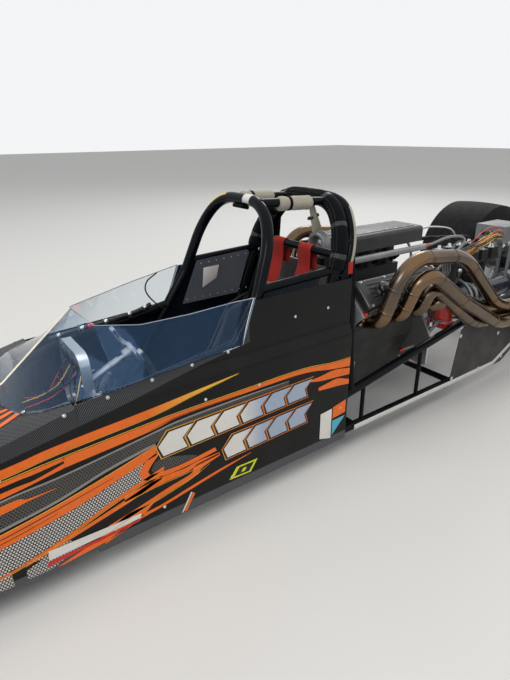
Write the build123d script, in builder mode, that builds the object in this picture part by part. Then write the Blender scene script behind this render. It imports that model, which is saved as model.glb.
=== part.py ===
from build123d import *
from math import cos, radians, sin
import os

os.makedirs("parts", exist_ok=True)

# A rear-engined dragster. +X is forward, +Y is the driver's left, +Z is up, and the ground is at z 0.
# Sizes are in millimetres. Places along the car are counted forward from the foot of the front roll hoop.

# Overall layout
front_axle = 3250
nose_shoulder = front_axle + 60
nose_tip = nose_shoulder + 290
rear_axle = -2650
tail_end = -3120
hoop_x = -(nose_tip + tail_end) / 2     # puts x 0 at the middle of the overall length

# Body shell
skin = 4
body_half = 313
body_floor = 88
joint_gap = 0.3
cowl_start = 660
cowl_bend = 900
cowl_bend_top = 558
nose_joint = 2750
nose_joint_half = 195
nose_joint_top = 405
nose_half = 165
tip_half = 62
tip_floor = 130
tip_top = 205
shell_low_round = 22
shell_top_round = 48
body_end = -420
belt_height = 644
belt_fall = 0.0618
belt_station = 142
shoulder_drop = 40
shoulder_inset = 19
side_top = 795
side_top_inset = 22

# Frame tubes
rail_r = 19
rail_setback = 12
rail_bend = 150
brace_r = 9.5
hoop_r = 20.6
bar_r = 16
cope_gap = 0.2
housing_tube_r = 40
dash_bar = 565
dash_bar_z = 400
dash_bar_r = 12.7
harness_bar = -372
harness_bar_z = 880
firewall_x = -470

# Wheels and tyres
front_tyre_r = 280
front_tyre_width = 76
front_sidewall = 64.1
front_rim_r = front_tyre_r - front_sidewall
front_track_half = 440
kingpin_half = 365
slick_r = 406
slick_width = 430
slick_inner = 350
rear_rim_r = 190.5
spindle_r = 12
axle_r = 20
running = 0.05

# Steering
wheel_station = 360
wheel_height = 600
column_lean = 25
arm_length = 110
tie_rod_r = 8
tie_rod_z = 236
axle_beam_r = 19
clearance = 6
kingpin_r = 9
nose_rail_z = front_tyre_r + axle_beam_r + rail_r + 2 * joint_gap    # the upper rail passes over the beam
nose_axle_top = nose_rail_z + rail_r + skin + 4

# Engine
engine_front = -495
engine_length = 500
crank_height = 440
bore_spacing = 122
pipe_r = 25

sides = {"left": 1, "right": -1}


def at(ahead, across=0, up=0):
    return Vector(hoop_x + ahead, across, up)


def belt(ahead):
    return belt_height - belt_fall * (ahead - belt_station)


def mirrored(point, sign):
    return Vector(point.X, sign * point.Y, point.Z)


def wheel_plane(ahead, height):
    return Plane(origin=at(ahead, 0, height), x_dir=(0, 1, 0), z_dir=(1, 0, 0))


def wheel_axis(ahead, height):
    return Axis(at(ahead, 0, height), (0, 1, 0))


# Body shell: station, half width, floor and top of each section
shell_sections = [
    (cowl_start, body_half, body_floor, belt(cowl_start)),
    (cowl_bend, body_half, body_floor, cowl_bend_top),
    (nose_joint, nose_joint_half, body_floor + 6, nose_joint_top),
    (nose_shoulder, nose_half, body_floor + 12, nose_axle_top),
    (nose_tip, tip_half, tip_floor, tip_top),
]

# Frame: centre lines of the rails, forward to back, on the left side, just inside the shell
shell_fit = skin + rail_r + joint_gap
rail_y = body_half - shell_fit
rail_z = body_floor + shell_fit
upper_y = body_half - 51
rear_rail_y = body_half - 63

lower_rail = [
    at(ahead - setback, half - shell_fit, floor + shell_fit)
    for (ahead, half, floor, top), setback in zip(shell_sections[3:0:-1], (rail_setback, 0, 0))
]
lower_rail += [
    at(-1640, rail_y, rail_z),
    at(-1760, rail_y, rail_z + 62),
    at(rear_axle + 50, rear_rail_y, 300),
]
upper_rail = [
    at(nose_shoulder - rail_setback, nose_half - 37, nose_rail_z),
    at(cowl_bend, upper_y, 490),
    at(580, upper_y, 575),
    at(100, upper_y, 644),
]
bay_rail = [
    at(-150, rail_y, 235),
    at(-1460, rail_y, 472),
    at(rear_axle + 50, rear_rail_y, 515),
]
# Uprights of the truss, then those of the engine bay by their stations at the foot and at the head
truss_stations = [3160, 2780, 2400, 2020, 1640, 1270, 900, dash_bar]
bay_uprights = [(-540, -540), (-920, -920), (-1460, -1460), (-2100, -2000)]
diagonal_step = 14     # a diagonal meets the rails this far from the upright


def on_rail(rail, ahead):
    x = hoop_x + ahead
    for front, back in zip(rail[:-1], rail[1:]):
        if back.X <= x <= front.X:
            share = (front.X - x) / (front.X - back.X)
            return front + (back - front) * share
    return rail[0] if x > rail[0].X else rail[-1]


# Front roll hoop and main hoop: half width and height up the leaning plane, from foot to crown
hoop_foot_z = 786
front_lean = 21
main_lean = 19
front_hoop_half = body_half - 59
main_hoop_half = body_half - 51
front_arch = [(front_hoop_half, 0), (front_hoop_half - 24, 190), (front_hoop_half - 114, 318)]
main_arch = [(main_hoop_half, 0), (main_hoop_half - 4, 150), (main_hoop_half - 112, 300)]
arch_radii = [260, 170]
main_foot = -340
double_gap = 58


def hoop_path(foot_ahead, arch, lean, foot):
    left = [foot]
    for half, rise in arch:
        left.append(at(foot_ahead - rise * sin(radians(lean)), half, hoop_foot_z + rise * cos(radians(lean))))
    right = [mirrored(point, -1) for point in reversed(left)]
    return left + right


front_path = hoop_path(0, front_arch, front_lean, at(450, rail_y - 6, rail_z))
main_path = hoop_path(main_foot, main_arch, main_lean, at(-80, rail_y - 6, rail_z))
rear_foot = at(-80 - double_gap, rail_y - 6, rail_z)
rear_main_path = hoop_path(main_foot - double_gap, main_arch, main_lean, rear_foot)
hoop_radii = [150] + arch_radii + arch_radii[::-1] + [150]


def tube(start, end, radius):
    with BuildPart() as rod:
        with BuildSketch(Plane(start, z_dir=end - start)):
            Circle(radius)
        extrude(amount=(end - start).length)
    return rod.part


def bent_tube(path, radii, radius):
    with BuildPart() as rod:
        with BuildLine():
            FilletPolyline(*path, radius=radii)
        with BuildSketch(Plane(path[0], z_dir=path[1] - path[0])):
            Circle(radius)
        sweep()
    return rod.part


def rail_tube(rail, sign, radius):
    return bent_tube([mirrored(point, sign) for point in rail], [rail_bend] * (len(rail) - 2), radius)


front_hoop_cut = bent_tube(front_path, hoop_radii, hoop_r + cope_gap)
main_hoop_cut = bent_tube(main_path, hoop_radii, hoop_r + cope_gap)
rear_hoop_cut = bent_tube(rear_main_path, hoop_radii, hoop_r + cope_gap)
lower_rail_cuts = [rail_tube(lower_rail, sign, rail_r + cope_gap) for sign in sides.values()]
upper_rail_cuts = [rail_tube(upper_rail, sign, rail_r + cope_gap) for sign in sides.values()]
bay_rail_cuts = [rail_tube(bay_rail, sign, rail_r + cope_gap) for sign in sides.values()]

# Side frames: rails, uprights and diagonals coped to them, and the plate that holds the axle housing
plate_thick = 10
plate_length = 230
plate_high = 270
for side, sign in sides.items():
    rail_cuts = [rail_tube(rail, sign, rail_r + cope_gap) for rail in (lower_rail, upper_rail, bay_rail)]
    hoop_cuts = [front_hoop_cut, main_hoop_cut, rear_hoop_cut]
    plate_plane = Plane(at(rear_axle + 20, sign * rear_rail_y, slick_r), x_dir=(1, 0, 0), z_dir=(0, -1, 0))
    with BuildPart() as plate:
        with BuildSketch(plate_plane):
            RectangleRounded(plate_length, plate_high, 40)
        extrude(amount=plate_thick / 2, both=True)
        with Locations(Location(at(rear_axle, sign * rear_rail_y, slick_r), (90, 0, 0))):
            Cylinder(housing_tube_r + joint_gap, 4 * plate_thick, mode=Mode.SUBTRACT)
        add(rail_cuts, mode=Mode.SUBTRACT)
    solids = [plate.part]
    for rail in (lower_rail, upper_rail, bay_rail):
        with BuildPart() as rail_solid:
            add(rail_tube(rail, sign, rail_r))
            add(hoop_cuts, mode=Mode.SUBTRACT)
        solids.append(rail_solid.part)
    foot_head = [(foot, upper_rail, foot) for foot in truss_stations]
    for foot, head in zip(truss_stations, truss_stations[1:]):
        foot_head.append((foot - diagonal_step, upper_rail, head + diagonal_step))
    foot_head += [(foot, bay_rail, head) for foot, head in bay_uprights]
    for foot, high_rail, head in foot_head:
        start = mirrored(on_rail(lower_rail, foot), sign)
        end = mirrored(on_rail(high_rail, head), sign)
        with BuildPart() as brace:
            add(tube(start, end, brace_r))
            add(rail_cuts + hoop_cuts, mode=Mode.SUBTRACT)
        solids.append(brace.part)
    with BuildPart() as frame_side:
        add(solids)
    frame_side.part.label = f"frame_{side}"
    export_step(frame_side.part, f"parts/frame_{side}.step")

# Cross tubes between the two sides: station, rail that they meet, tube radius
cross_tubes = [
    (nose_shoulder - 40, lower_rail, rail_r),
    (2450, lower_rail, brace_r),
    (1650, lower_rail, brace_r),
    (950, lower_rail, rail_r),
    (firewall_x - rail_r - joint_gap, lower_rail, rail_r),
    (-1200, lower_rail, bar_r),
    (-2000, lower_rail, bar_r),
    (nose_shoulder - 40, upper_rail, brace_r),
    (2050, upper_rail, brace_r),
    (1250, upper_rail, brace_r),
    (900, upper_rail, brace_r),
]
cross_rods = []
for ahead, rail, radius in cross_tubes:
    end = on_rail(rail, ahead)
    cross_rods.append(tube(mirrored(end, -1), end, radius))

with BuildPart() as crossmembers:
    add(cross_rods)
    add(lower_rail_cuts + upper_rail_cuts, mode=Mode.SUBTRACT)
crossmembers.part.label = "crossmembers"
export_step(crossmembers.part, "parts/crossmembers.step")

# Roll cage: the front hoop, and a double main hoop with its rear tube set back
front_hoop_tube = bent_tube(front_path, hoop_radii, hoop_r)
with BuildPart() as front_hoop:
    add(front_hoop_tube)
    add(lower_rail_cuts, mode=Mode.SUBTRACT)
front_hoop.part.label = "front_hoop"
export_step(front_hoop.part, "parts/front_hoop.step")

gusset_rises = (20, 150)
hoop_tubes = [bent_tube(main_path, hoop_radii, hoop_r), bent_tube(rear_main_path, hoop_radii, hoop_r)]
gusset_runs = []
for rise in gusset_rises:
    front_end = main_path[1] + (main_path[2] - main_path[1]) * (rise / main_arch[1][1])
    rear_end = front_end - Vector(double_gap, 0, 0)
    gusset_runs += [(mirrored(front_end, sign), mirrored(rear_end, sign)) for sign in sides.values()]
hoop_tubes += [tube(start, end, brace_r) for start, end in gusset_runs]
with BuildPart() as main_hoop:
    add(hoop_tubes)
    add(lower_rail_cuts + bay_rail_cuts, mode=Mode.SUBTRACT)
main_hoop.part.label = "main_hoop"
export_step(main_hoop.part, "parts/main_hoop.step")

# Bars of the cage: roof bars, shoulder rails and rear braces in pairs, then the bars across
roof_bar_front = at(-112, 118, 1078)
roof_bar_back = at(-438, 118, 1062)
shoulder_y = front_hoop_half + 2
paired_bars = [
    # start, end
    (roof_bar_front, roof_bar_back),
    (at(-8, shoulder_y, 815), at(-352, shoulder_y, 830)),
    (at(-463, 226, 975), on_rail(bay_rail, -460)),
]
bar_runs = []
for start, end in paired_bars:
    bar_runs += [(mirrored(start, sign), mirrored(end, sign), bar_r) for sign in sides.values()]
dash_low = on_rail(lower_rail, dash_bar)
dash_high = on_rail(upper_rail, dash_bar)
dash_share = (dash_bar_z - dash_low.Z) / (dash_high.Z - dash_low.Z)
dash_half = (dash_low + (dash_high - dash_low) * dash_share).Y - brace_r - 4 * joint_gap
cross_bars = [(harness_bar, shoulder_y, harness_bar_z, bar_r), (dash_bar, dash_half, dash_bar_z, dash_bar_r)]
for ahead, half, height, radius in cross_bars:
    bar_runs.append((at(ahead, half, height), at(ahead, -half, height), radius))

with BuildPart() as cage_bars:
    add([tube(start, end, radius) for start, end, radius in bar_runs])
    add([front_hoop_cut, main_hoop_cut, rear_hoop_cut] + bay_rail_cuts, mode=Mode.SUBTRACT)
cage_bars.part.label = "cage_bars"
export_step(cage_bars.part, "parts/cage_bars.step")

def shell_section(ahead, half, floor, top, inset):
    with BuildSketch(Plane.YZ.offset(hoop_x + ahead)) as section:
        with Locations((0, (floor + top) / 2)):
            outline = Rectangle(2 * (half - inset), top - floor - 2 * inset)
        low_corners = outline.vertices().sort_by(Axis.Y)[:2]
        top_corners = outline.vertices().sort_by(Axis.Y)[-2:]
        fillet(low_corners, (shell_low_round - inset) * half / body_half)
        fillet(top_corners, (shell_top_round - inset) * half / body_half)
    return section.sketch


# The windshield's foot on the cowl, as a half outline in plan: station and half width
shield_foot = [
    (cowl_start, body_half - 45),
    (730, body_half - 61),
    (790, body_half - 108),
    (825, body_half - 183),
    (842, 20),
]
deck_ledge = 10

with BuildPart() as front_body:
    loft([shell_section(*row, inset=0) for row in shell_sections[:3]], ruled=True)
    loft([shell_section(*row, inset=skin) for row in shell_sections[:3]], ruled=True, mode=Mode.SUBTRACT)
    # The cowl opening under the windshield, a ledge inside the foot of the glass
    opening = [(hoop_x + ahead - deck_ledge, half - deck_ledge) for ahead, half in shield_foot]
    opening = [(hoop_x + cowl_start - 1, shield_foot[0][1] - deck_ledge)] + opening[1:]
    with BuildSketch(Plane.XY.offset(cowl_bend_top - 60)):
        with BuildLine():
            Polyline(opening + [(x, -y) for x, y in reversed(opening)], close=True)
        make_face()
    extrude(amount=200, mode=Mode.SUBTRACT)
front_body.part.label = "front_body"
export_step(front_body.part, "parts/front_body.step")

with BuildPart() as nose_cone:
    outer = [shell_section(*row, inset=0) for row in shell_sections[2:]]
    inner = [shell_section(*row, inset=skin) for row in shell_sections[2:4]]
    tip_row = (nose_tip - 12, tip_half, tip_floor, tip_top)
    inner.append(shell_section(*tip_row, inset=skin))
    loft(outer, ruled=True)
    loft(inner, ruled=True, mode=Mode.SUBTRACT)
    split(bisect_by=Plane.YZ.offset(hoop_x + nose_joint + joint_gap))
    # Slots for the front axle and for the tie rod behind it
    slot_length = 2 * (tie_rod_r + clearance) + 8
    with BuildSketch(Plane.XZ.offset(-nose_joint_half)):
        with Locations((hoop_x + front_axle, front_tyre_r)):
            Circle(axle_beam_r + joint_gap)
        with Locations((hoop_x + front_axle - arm_length + 2, tie_rod_z)):
            SlotOverall(slot_length, 2 * (tie_rod_r + clearance))
    extrude(amount=2 * nose_joint_half, mode=Mode.SUBTRACT)
nose_cone.part.label = "nose_cone"
export_step(nose_cone.part, "parts/nose_cone.step")

# Cockpit sides: a flat panel with a rounded shoulder, full height behind the windshield's seam
seam_top = (27, 800)
seam_low = (88, belt(88))
for side, sign in sides.items():
    with BuildPart() as body_side:
        with BuildSketch(Plane.YZ.offset(hoop_x + body_end)):
            with BuildLine():
                outer = FilletPolyline(
                    (sign * body_half, body_floor),
                    (sign * body_half, belt_height - shoulder_drop - 30),
                    (sign * (body_half - shoulder_inset), belt_height - 30),
                    (sign * (body_half - side_top_inset), side_top),
                    radius=[60, 80],
                )
                offset(amount=skin, side=Side.LEFT if sign > 0 else Side.RIGHT)
            make_face()
        extrude(amount=cowl_start - joint_gap - body_end)
        # Everything above the belt and ahead of the seam is cut away for the windshield
        with BuildSketch(Plane.XZ.offset(-sign * body_half - 10)):
            with BuildLine():
                Polyline(
                    (hoop_x + seam_low[0], seam_low[1]),
                    (hoop_x + seam_top[0], seam_top[1]),
                    (hoop_x + seam_top[0], seam_top[1] + 100),
                    (hoop_x + cowl_start + 10, seam_top[1] + 100),
                    (hoop_x + cowl_start + 10, belt(cowl_start + 10)),
                    close=True,
                )
            make_face()
        extrude(amount=sign * 100, mode=Mode.SUBTRACT)
    body_side.part.label = f"body_{side}"
    export_step(body_side.part, f"parts/body_{side}.step")

# Belly pan under the cockpit
pan_half = body_half - skin - joint_gap
with BuildPart() as belly_pan:
    with BuildSketch(Plane.XY.offset(body_floor)):
        with Locations((hoop_x + (cowl_start + body_end) / 2, 0)):
            Rectangle(cowl_start - body_end - 2 * joint_gap, 2 * pan_half)
    extrude(amount=skin)
belly_pan.part.label = "belly_pan"
export_step(belly_pan.part, "parts/belly_pan.step")

# Windshield: outer foot and outer top edge at each station; ahead of the peak the top is the centre fold
shield_t = 5
shield_y = body_half - shoulder_inset
shield_stations = [
    # ahead, half width and height at the foot, half width and height at the top
    (0, shield_y - 1, belt(0), body_half - 30, 801),
    (100, shield_y, belt(100), body_half - 50, 794),
    (250, shield_y, belt(250), body_half - 77, 777),
    (400, shield_y, belt(400), body_half - 121, 762),
    (520, shield_y, belt(520), body_half - 195, 764),
    (556, shield_y, belt(556), 0, 800),
    (cowl_start, shield_foot[0][1] + 12, belt(cowl_start), 0, 712),
    (730, shield_foot[1][1], belt(cowl_start) - 14, 0, 653),
    (790, shield_foot[2][1], belt(cowl_start) - 27, 0, 602),
    (842, shield_foot[4][1], belt(cowl_start) - 37, 0, 576),
]
halves = []
for sign in sides.values():
    sections = []
    for ahead, foot_half, foot_z, top_half, top_z in shield_stations:
        drop = shield_t if top_half == 0 else 0
        with BuildSketch(Plane.YZ.offset(hoop_x + ahead)) as section:
            with BuildLine():
                Polyline(
                    (sign * foot_half, foot_z + joint_gap),
                    (sign * top_half, top_z),
                    (sign * (top_half - (0 if drop else shield_t)), top_z - drop),
                    (sign * (foot_half - shield_t), foot_z + joint_gap),
                    close=True,
                )
            make_face()
        sections.append(section.sketch)
    with BuildPart() as half_shield:
        loft(sections, ruled=True)
        # Rear edge along the seam
        with BuildSketch(Plane.XZ.offset(400)):
            with BuildLine():
                Polyline(
                    (hoop_x + seam_low[0] + 1, seam_low[1] - 20),
                    (hoop_x + seam_low[0] + 1, seam_low[1]),
                    (hoop_x + seam_top[0] + 1, seam_top[1]),
                    (hoop_x + seam_top[0] + 1, seam_top[1] + 60),
                    (hoop_x - 20, seam_top[1] + 60),
                    (hoop_x - 20, seam_low[1] - 20),
                    close=True,
                )
            make_face()
        extrude(amount=-800, mode=Mode.SUBTRACT)
    halves.append(half_shield.part)
with BuildPart() as windshield:
    add(halves)
windshield.part.label = "windshield"
export_step(windshield.part, "parts/windshield.step")

# Padded sleeves round the two roof bars
pad_gap = 0.4
roof_pad_r = 30
hoop_pad_r = double_gap * cos(radians(main_lean)) - hoop_r - 2 * pad_gap    # stays clear of the rear tube
pad_from = roof_bar_front + (roof_bar_back - roof_bar_front) * 0.2
pad_to = roof_bar_front + (roof_bar_back - roof_bar_front) * 0.78
pad_solids = []
for sign in sides.values():
    low = mirrored(pad_from, sign)
    high = mirrored(pad_to, sign)
    pad_solids.append(tube(low, high, roof_pad_r) - tube(low, high, bar_r + pad_gap))
with BuildPart() as roof_pads:
    add(pad_solids)
roof_pads.part.label = "roof_pads"
export_step(roof_pads.part, "parts/roof_pads.step")

# Thick padding round the front tube of the main hoop, over both legs and the crown, notched for the bars
hoop_pad_rise = 44
leg_share = hoop_pad_rise / main_arch[1][1]
pad_left = [main_path[1] + (main_path[2] - main_path[1]) * leg_share, main_path[2], main_path[3]]
pad_path = pad_left + [mirrored(point, -1) for point in reversed(pad_left)]
pad_notches = [bent_tube(main_path, hoop_radii, hoop_r + pad_gap)]
for start, end, radius in bar_runs:
    pad_notches.append(tube(start, end, radius + pad_gap))
pad_notches += [tube(start, end, brace_r + pad_gap) for start, end in gusset_runs]
with BuildPart() as hoop_pads:
    add(bent_tube(pad_path, arch_radii + arch_radii[::-1], hoop_pad_r))
    add(pad_notches, mode=Mode.SUBTRACT)
hoop_pads.part.label = "hoop_pads"
export_step(hoop_pads.part, "parts/hoop_pads.step")

# Shoulder harness: two webs over the bar, each a strap hanging down in front and a short tail behind
web_width = 75
web_t = 4
web_half = 85
web_reach = bar_r + joint_gap + web_t / 2
with BuildPart() as harness:
    with BuildSketch(Plane.XZ.offset(-web_half - web_width / 2)):
        with BuildLine():
            front_drop = Polyline(
                (hoop_x + harness_bar + web_reach + 95, 552),
                (hoop_x + harness_bar + web_reach + 61, 645),
                (hoop_x + harness_bar + web_reach, harness_bar_z - 60),
                (hoop_x + harness_bar + web_reach, harness_bar_z),
            )
            web_back = hoop_x + harness_bar - web_reach
            over = TangentArc(front_drop @ 1, (web_back, harness_bar_z), tangent=(0, 1))
            Line(over @ 1, (web_back, harness_bar_z - 90))
        trace(line_width=web_t)
    extrude(amount=web_width)
    mirror(about=Plane.XZ)
harness.part.label = "harness"
export_step(harness.part, "parts/harness.step")

# Seat: a bucket with side wings, its back along the lean of the main hoop
seat_half = body_half - 113
seat_t = 26
seat_back_top = (-322, 700)
seat_low = body_floor + skin + joint_gap + seat_t
with BuildPart() as seat:
    with BuildSketch(Plane.XZ.offset(-seat_half)):
        with BuildLine():
            FilletPolyline(
                (hoop_x + 260, 235),
                (hoop_x + 190, seat_low),
                (hoop_x - 95, seat_low),
                (hoop_x + seat_back_top[0], seat_back_top[1]),
                radius=[120, 110],
            )
            offset(amount=seat_t, side=Side.LEFT)
        make_face()
    extrude(amount=2 * seat_half)
    for sign in sides.values():
        with BuildSketch(Plane.XZ.offset(-sign * (seat_half + seat_t / 2))):
            with BuildLine():
                FilletPolyline(
                    (hoop_x + 255, 232),
                    (hoop_x + 185, seat_low - 5),
                    (hoop_x - 100, seat_low - 5),
                    (hoop_x - 300, 640),
                    (hoop_x - 190, 610),
                    (hoop_x - 20, 330),
                    (hoop_x + 225, 330),
                    radius=[100, 100, 30, 30, 110],
                )
                Line((hoop_x + 225, 330), (hoop_x + 255, 232))
            make_face()
        extrude(amount=seat_t / 2, both=True)
seat.part.label = "seat"
export_step(seat.part, "parts/seat.step")

# Grey inner panels between the hoops, hung under the shoulder rails
liner_t = 3
liner_y = shoulder_y - bar_r - liner_t - joint_gap
with BuildPart() as side_liners:
    with BuildSketch(Plane.XZ.offset(-liner_y)):
        with BuildLine():
            FilletPolyline(
                (hoop_x + 35, 640),
                (hoop_x - 42, 815),
                (hoop_x - 312, 828),
                (hoop_x - 245, 640),
                radius=[10, 10],
            )
            Line((hoop_x - 245, 640), (hoop_x + 35, 640))
        make_face()
    extrude(amount=-liner_t)
    mirror(about=Plane.XZ)
side_liners.part.label = "side_liners"
export_step(side_liners.part, "parts/side_liners.step")

# Firewall behind the seat
firewall_half = front_hoop_half - 32
with BuildPart() as firewall:
    with BuildSketch(Plane.YZ.offset(hoop_x + firewall_x)):
        with BuildLine():
            FilletPolyline(
                (-firewall_half, rail_z),
                (-firewall_half, 640),
                (-190, 790),
                (190, 790),
                (firewall_half, 640),
                (firewall_half, rail_z),
                radius=[60, 60, 60, 60],
            )
            Line((firewall_half, rail_z), (-firewall_half, rail_z))
        make_face()
    extrude(amount=3)
firewall.part.label = "firewall"
export_step(firewall.part, "parts/firewall.step")

# Steering wheel on its column. The column leans forward and down from the wheel
wheel_centre = at(wheel_station, 0, wheel_height)
column_dir = Vector(cos(radians(column_lean)), 0, -sin(radians(column_lean)))
column_length = 215
column_r = 9.5
grip_half = 125
column_plane = Plane(origin=wheel_centre, x_dir=(0, 1, 0), z_dir=column_dir)
with BuildPart() as steering_wheel:
    with BuildSketch(column_plane):
        for sign in sides.values():
            with Locations((sign * grip_half, 0)):
                SlotOverall(120, 30, rotation=90)
        SlotOverall(2 * grip_half, 36)
        Circle(34)
        with Locations((60, 0), (-60, 0)):
            Circle(9, mode=Mode.SUBTRACT)
    extrude(amount=14)
    with BuildSketch(column_plane):
        Circle(22)
    extrude(amount=40)
    with BuildSketch(column_plane):
        Circle(column_r)
    extrude(amount=column_length)
steering_wheel.part.label = "steering_wheel"
export_step(steering_wheel.part, "parts/steering_wheel.step")

# Column tube with the bracket that stands on the dash bar
with BuildPart() as steering_column:
    with BuildSketch(column_plane.offset(60)):
        Circle(15)
    extrude(amount=column_length - 60 - 10)
    bar_seat = dash_bar_z + dash_bar_r + cope_gap
    with BuildSketch(Plane.XZ):
        with BuildLine():
            upper = wheel_centre + column_dir * 140
            lower = wheel_centre + column_dir * 198
            Polyline(
                (upper.X, upper.Z),
                (lower.X, lower.Z),
                (hoop_x + dash_bar + 12, bar_seat),
                (hoop_x + dash_bar - 12, bar_seat),
                close=True,
            )
        make_face()
    extrude(amount=5, both=True)
    with BuildSketch(column_plane.offset(60)):
        Circle(column_r + running)
    extrude(amount=column_length, mode=Mode.SUBTRACT)
steering_column.part.label = "steering_column"
export_step(steering_column.part, "parts/steering_column.step")

# Dash hoop: a bent aluminium strap standing on the dash bar
strap_t = 5
strap_width = 32
strap_half = 150
strap_top = 668
with BuildPart() as dash_hoop:
    with BuildSketch(Plane.YZ.offset(hoop_x + dash_bar - strap_width / 2)):
        with BuildLine():
            foot_z = dash_bar_z + dash_bar_r + cope_gap
            FilletPolyline(
                (strap_half - 40, foot_z + strap_t / 2),
                (strap_half, foot_z + strap_t / 2),
                (strap_half - 45, strap_top),
                (-strap_half + 45, strap_top),
                (-strap_half, foot_z + strap_t / 2),
                (-strap_half + 40, foot_z + strap_t / 2),
                radius=[12, 45, 45, 12],
            )
        trace(line_width=strap_t)
    extrude(amount=strap_width)
dash_hoop.part.label = "dash_hoop"
export_step(dash_hoop.part, "parts/dash_hoop.step")

# Pedals on a pivot tube across the floor
pedal_station = 840
pedal_z = body_floor + skin + 40
with BuildPart() as pedals:
    add(tube(at(pedal_station, 200, pedal_z), at(pedal_station, -200, pedal_z), 10))
    for across in (90, -90):
        with BuildSketch(Plane.XZ.offset(-across - 8)):
            with BuildLine():
                FilletPolyline(
                    (hoop_x + pedal_station, pedal_z),
                    (hoop_x + pedal_station + 40, pedal_z + 120),
                    (hoop_x + pedal_station - 10, pedal_z + 230),
                    radius=40,
                )
            trace(line_width=16)
        extrude(amount=16)
        pad_place = at(pedal_station - 6, across, pedal_z + 205)
        with BuildSketch(Plane(pad_place, x_dir=(0, 1, 0), z_dir=(1, 0, 0.42))):
            RectangleRounded(80, 100, 12)
        extrude(amount=-8)
    for across in (190, -190):
        with Locations(at(pedal_station, across, body_floor + skin + joint_gap + 25)):
            Box(40, 10, 50)
pedals.part.label = "pedals"
export_step(pedals.part, "parts/pedals.step")

# Engine: a V8 block with its oil pan, as a half outline of width and height above the crank
engine_back = engine_front - engine_length
engine_middle = engine_front - engine_length / 2
block_outline = [(95, -270), (125, -120), (165, -40), (170, 55), (222, 106), (112, 216), (60, 160)]
with BuildPart() as engine_block:
    with BuildSketch(Plane.YZ.offset(hoop_x + engine_back)):
        with BuildLine():
            left_half = [(y, crank_height + z) for y, z in block_outline]
            Polyline(left_half + [(-y, z) for y, z in reversed(left_half)], close=True)
        make_face()
    extrude(amount=engine_length)
engine_block.part.label = "engine_block"
export_step(engine_block.part, "parts/engine_block.step")

# Heads and covers lie on the two decks, which lean 45 degrees
deck_low_y, deck_low_z = left_half[4]
deck_high_y, deck_high_z = left_half[5]
deck_width = ((deck_low_y - deck_high_y) ** 2 + (deck_high_z - deck_low_z) ** 2) ** 0.5
head_high = 95
cover_high = 50
end_gap = 6
port_stations = [engine_front - 62 - bore_spacing * number for number in range(4)]


def deck_plane(sign, offset):
    middle = at(engine_middle, sign * (deck_low_y + deck_high_y) / 2, (deck_low_z + deck_high_z) / 2)
    normal = Vector(0, sign, 1).normalized()
    return Plane(origin=middle + normal * offset, x_dir=(1, 0, 0), z_dir=normal)


heads = []
head_cuts = []
covers = []
for sign in sides.values():
    with BuildPart() as head:
        with BuildSketch(deck_plane(sign, joint_gap)):
            Rectangle(engine_length - 2 * end_gap, deck_width)
        extrude(amount=head_high)
    heads.append(head.part)
    with BuildPart() as head_cut:
        with BuildSketch(deck_plane(sign, 0)):
            Rectangle(engine_length, deck_width + 2 * joint_gap)
        extrude(amount=head_high + 2 * joint_gap)
    head_cuts.append(head_cut.part)
    with BuildPart() as cover:
        with BuildSketch(deck_plane(sign, 2 * joint_gap + head_high)):
            RectangleRounded(engine_length - 2 * end_gap - 20, deck_width - 22, 16)
        extrude(amount=cover_high)
        fillet(cover.faces().sort_by(Axis.Z)[-1].edges(), 14)
    covers.append(cover.part)
with BuildPart() as cylinder_heads:
    add(heads)
cylinder_heads.part.label = "cylinder_heads"
export_step(cylinder_heads.part, "parts/cylinder_heads.step")
with BuildPart() as valve_covers:
    add(covers)
valve_covers.part.label = "valve_covers"
export_step(valve_covers.part, "parts/valve_covers.step")

# Intake: a base in the valley, a runner above each port and the plenum over them
plenum_z = crank_height + 385
plenum_high = 70
plenum_half = 100
plenum_front = engine_front - 30
plenum_back = engine_back - 110
valley_z = crank_height + block_outline[-1][1]
with BuildPart() as intake:
    with BuildSketch(Plane.XY.offset(plenum_z)):
        with Locations((hoop_x + (plenum_front + plenum_back) / 2, 0)):
            RectangleRounded(plenum_front - plenum_back, 2 * plenum_half, 30)
    extrude(amount=plenum_high)
    fillet(intake.faces().sort_by(Axis.Z)[-1].edges(), 18)
    with BuildSketch(Plane.XY.offset(valley_z + joint_gap)):
        with Locations((hoop_x + engine_middle, 0)):
            Rectangle(engine_length - 40, 2 * block_outline[-1][0])
    extrude(amount=130)
    with BuildSketch(Plane.XY.offset(valley_z + 100)):
        for ahead in port_stations:
            for sign in sides.values():
                with Locations((hoop_x + ahead, sign * 33)):
                    RectangleRounded(52, 44, 12)
    extrude(amount=plenum_z - valley_z - 90)
intake.part.label = "intake"
export_step(intake.part, "parts/intake.step")

# Headers: four primaries on each side run back and down into one collector
port_y = deck_low_y + 0.7071 * head_high / 2
port_z = deck_low_z + 0.7071 * head_high / 2
collector_x = -1720
collector_y = 372
collector_z = 445
collector_r = 58
collector_end = -2040
outlet_r = 44
nest = pipe_r + 1.5
flange_t = 9
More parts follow.
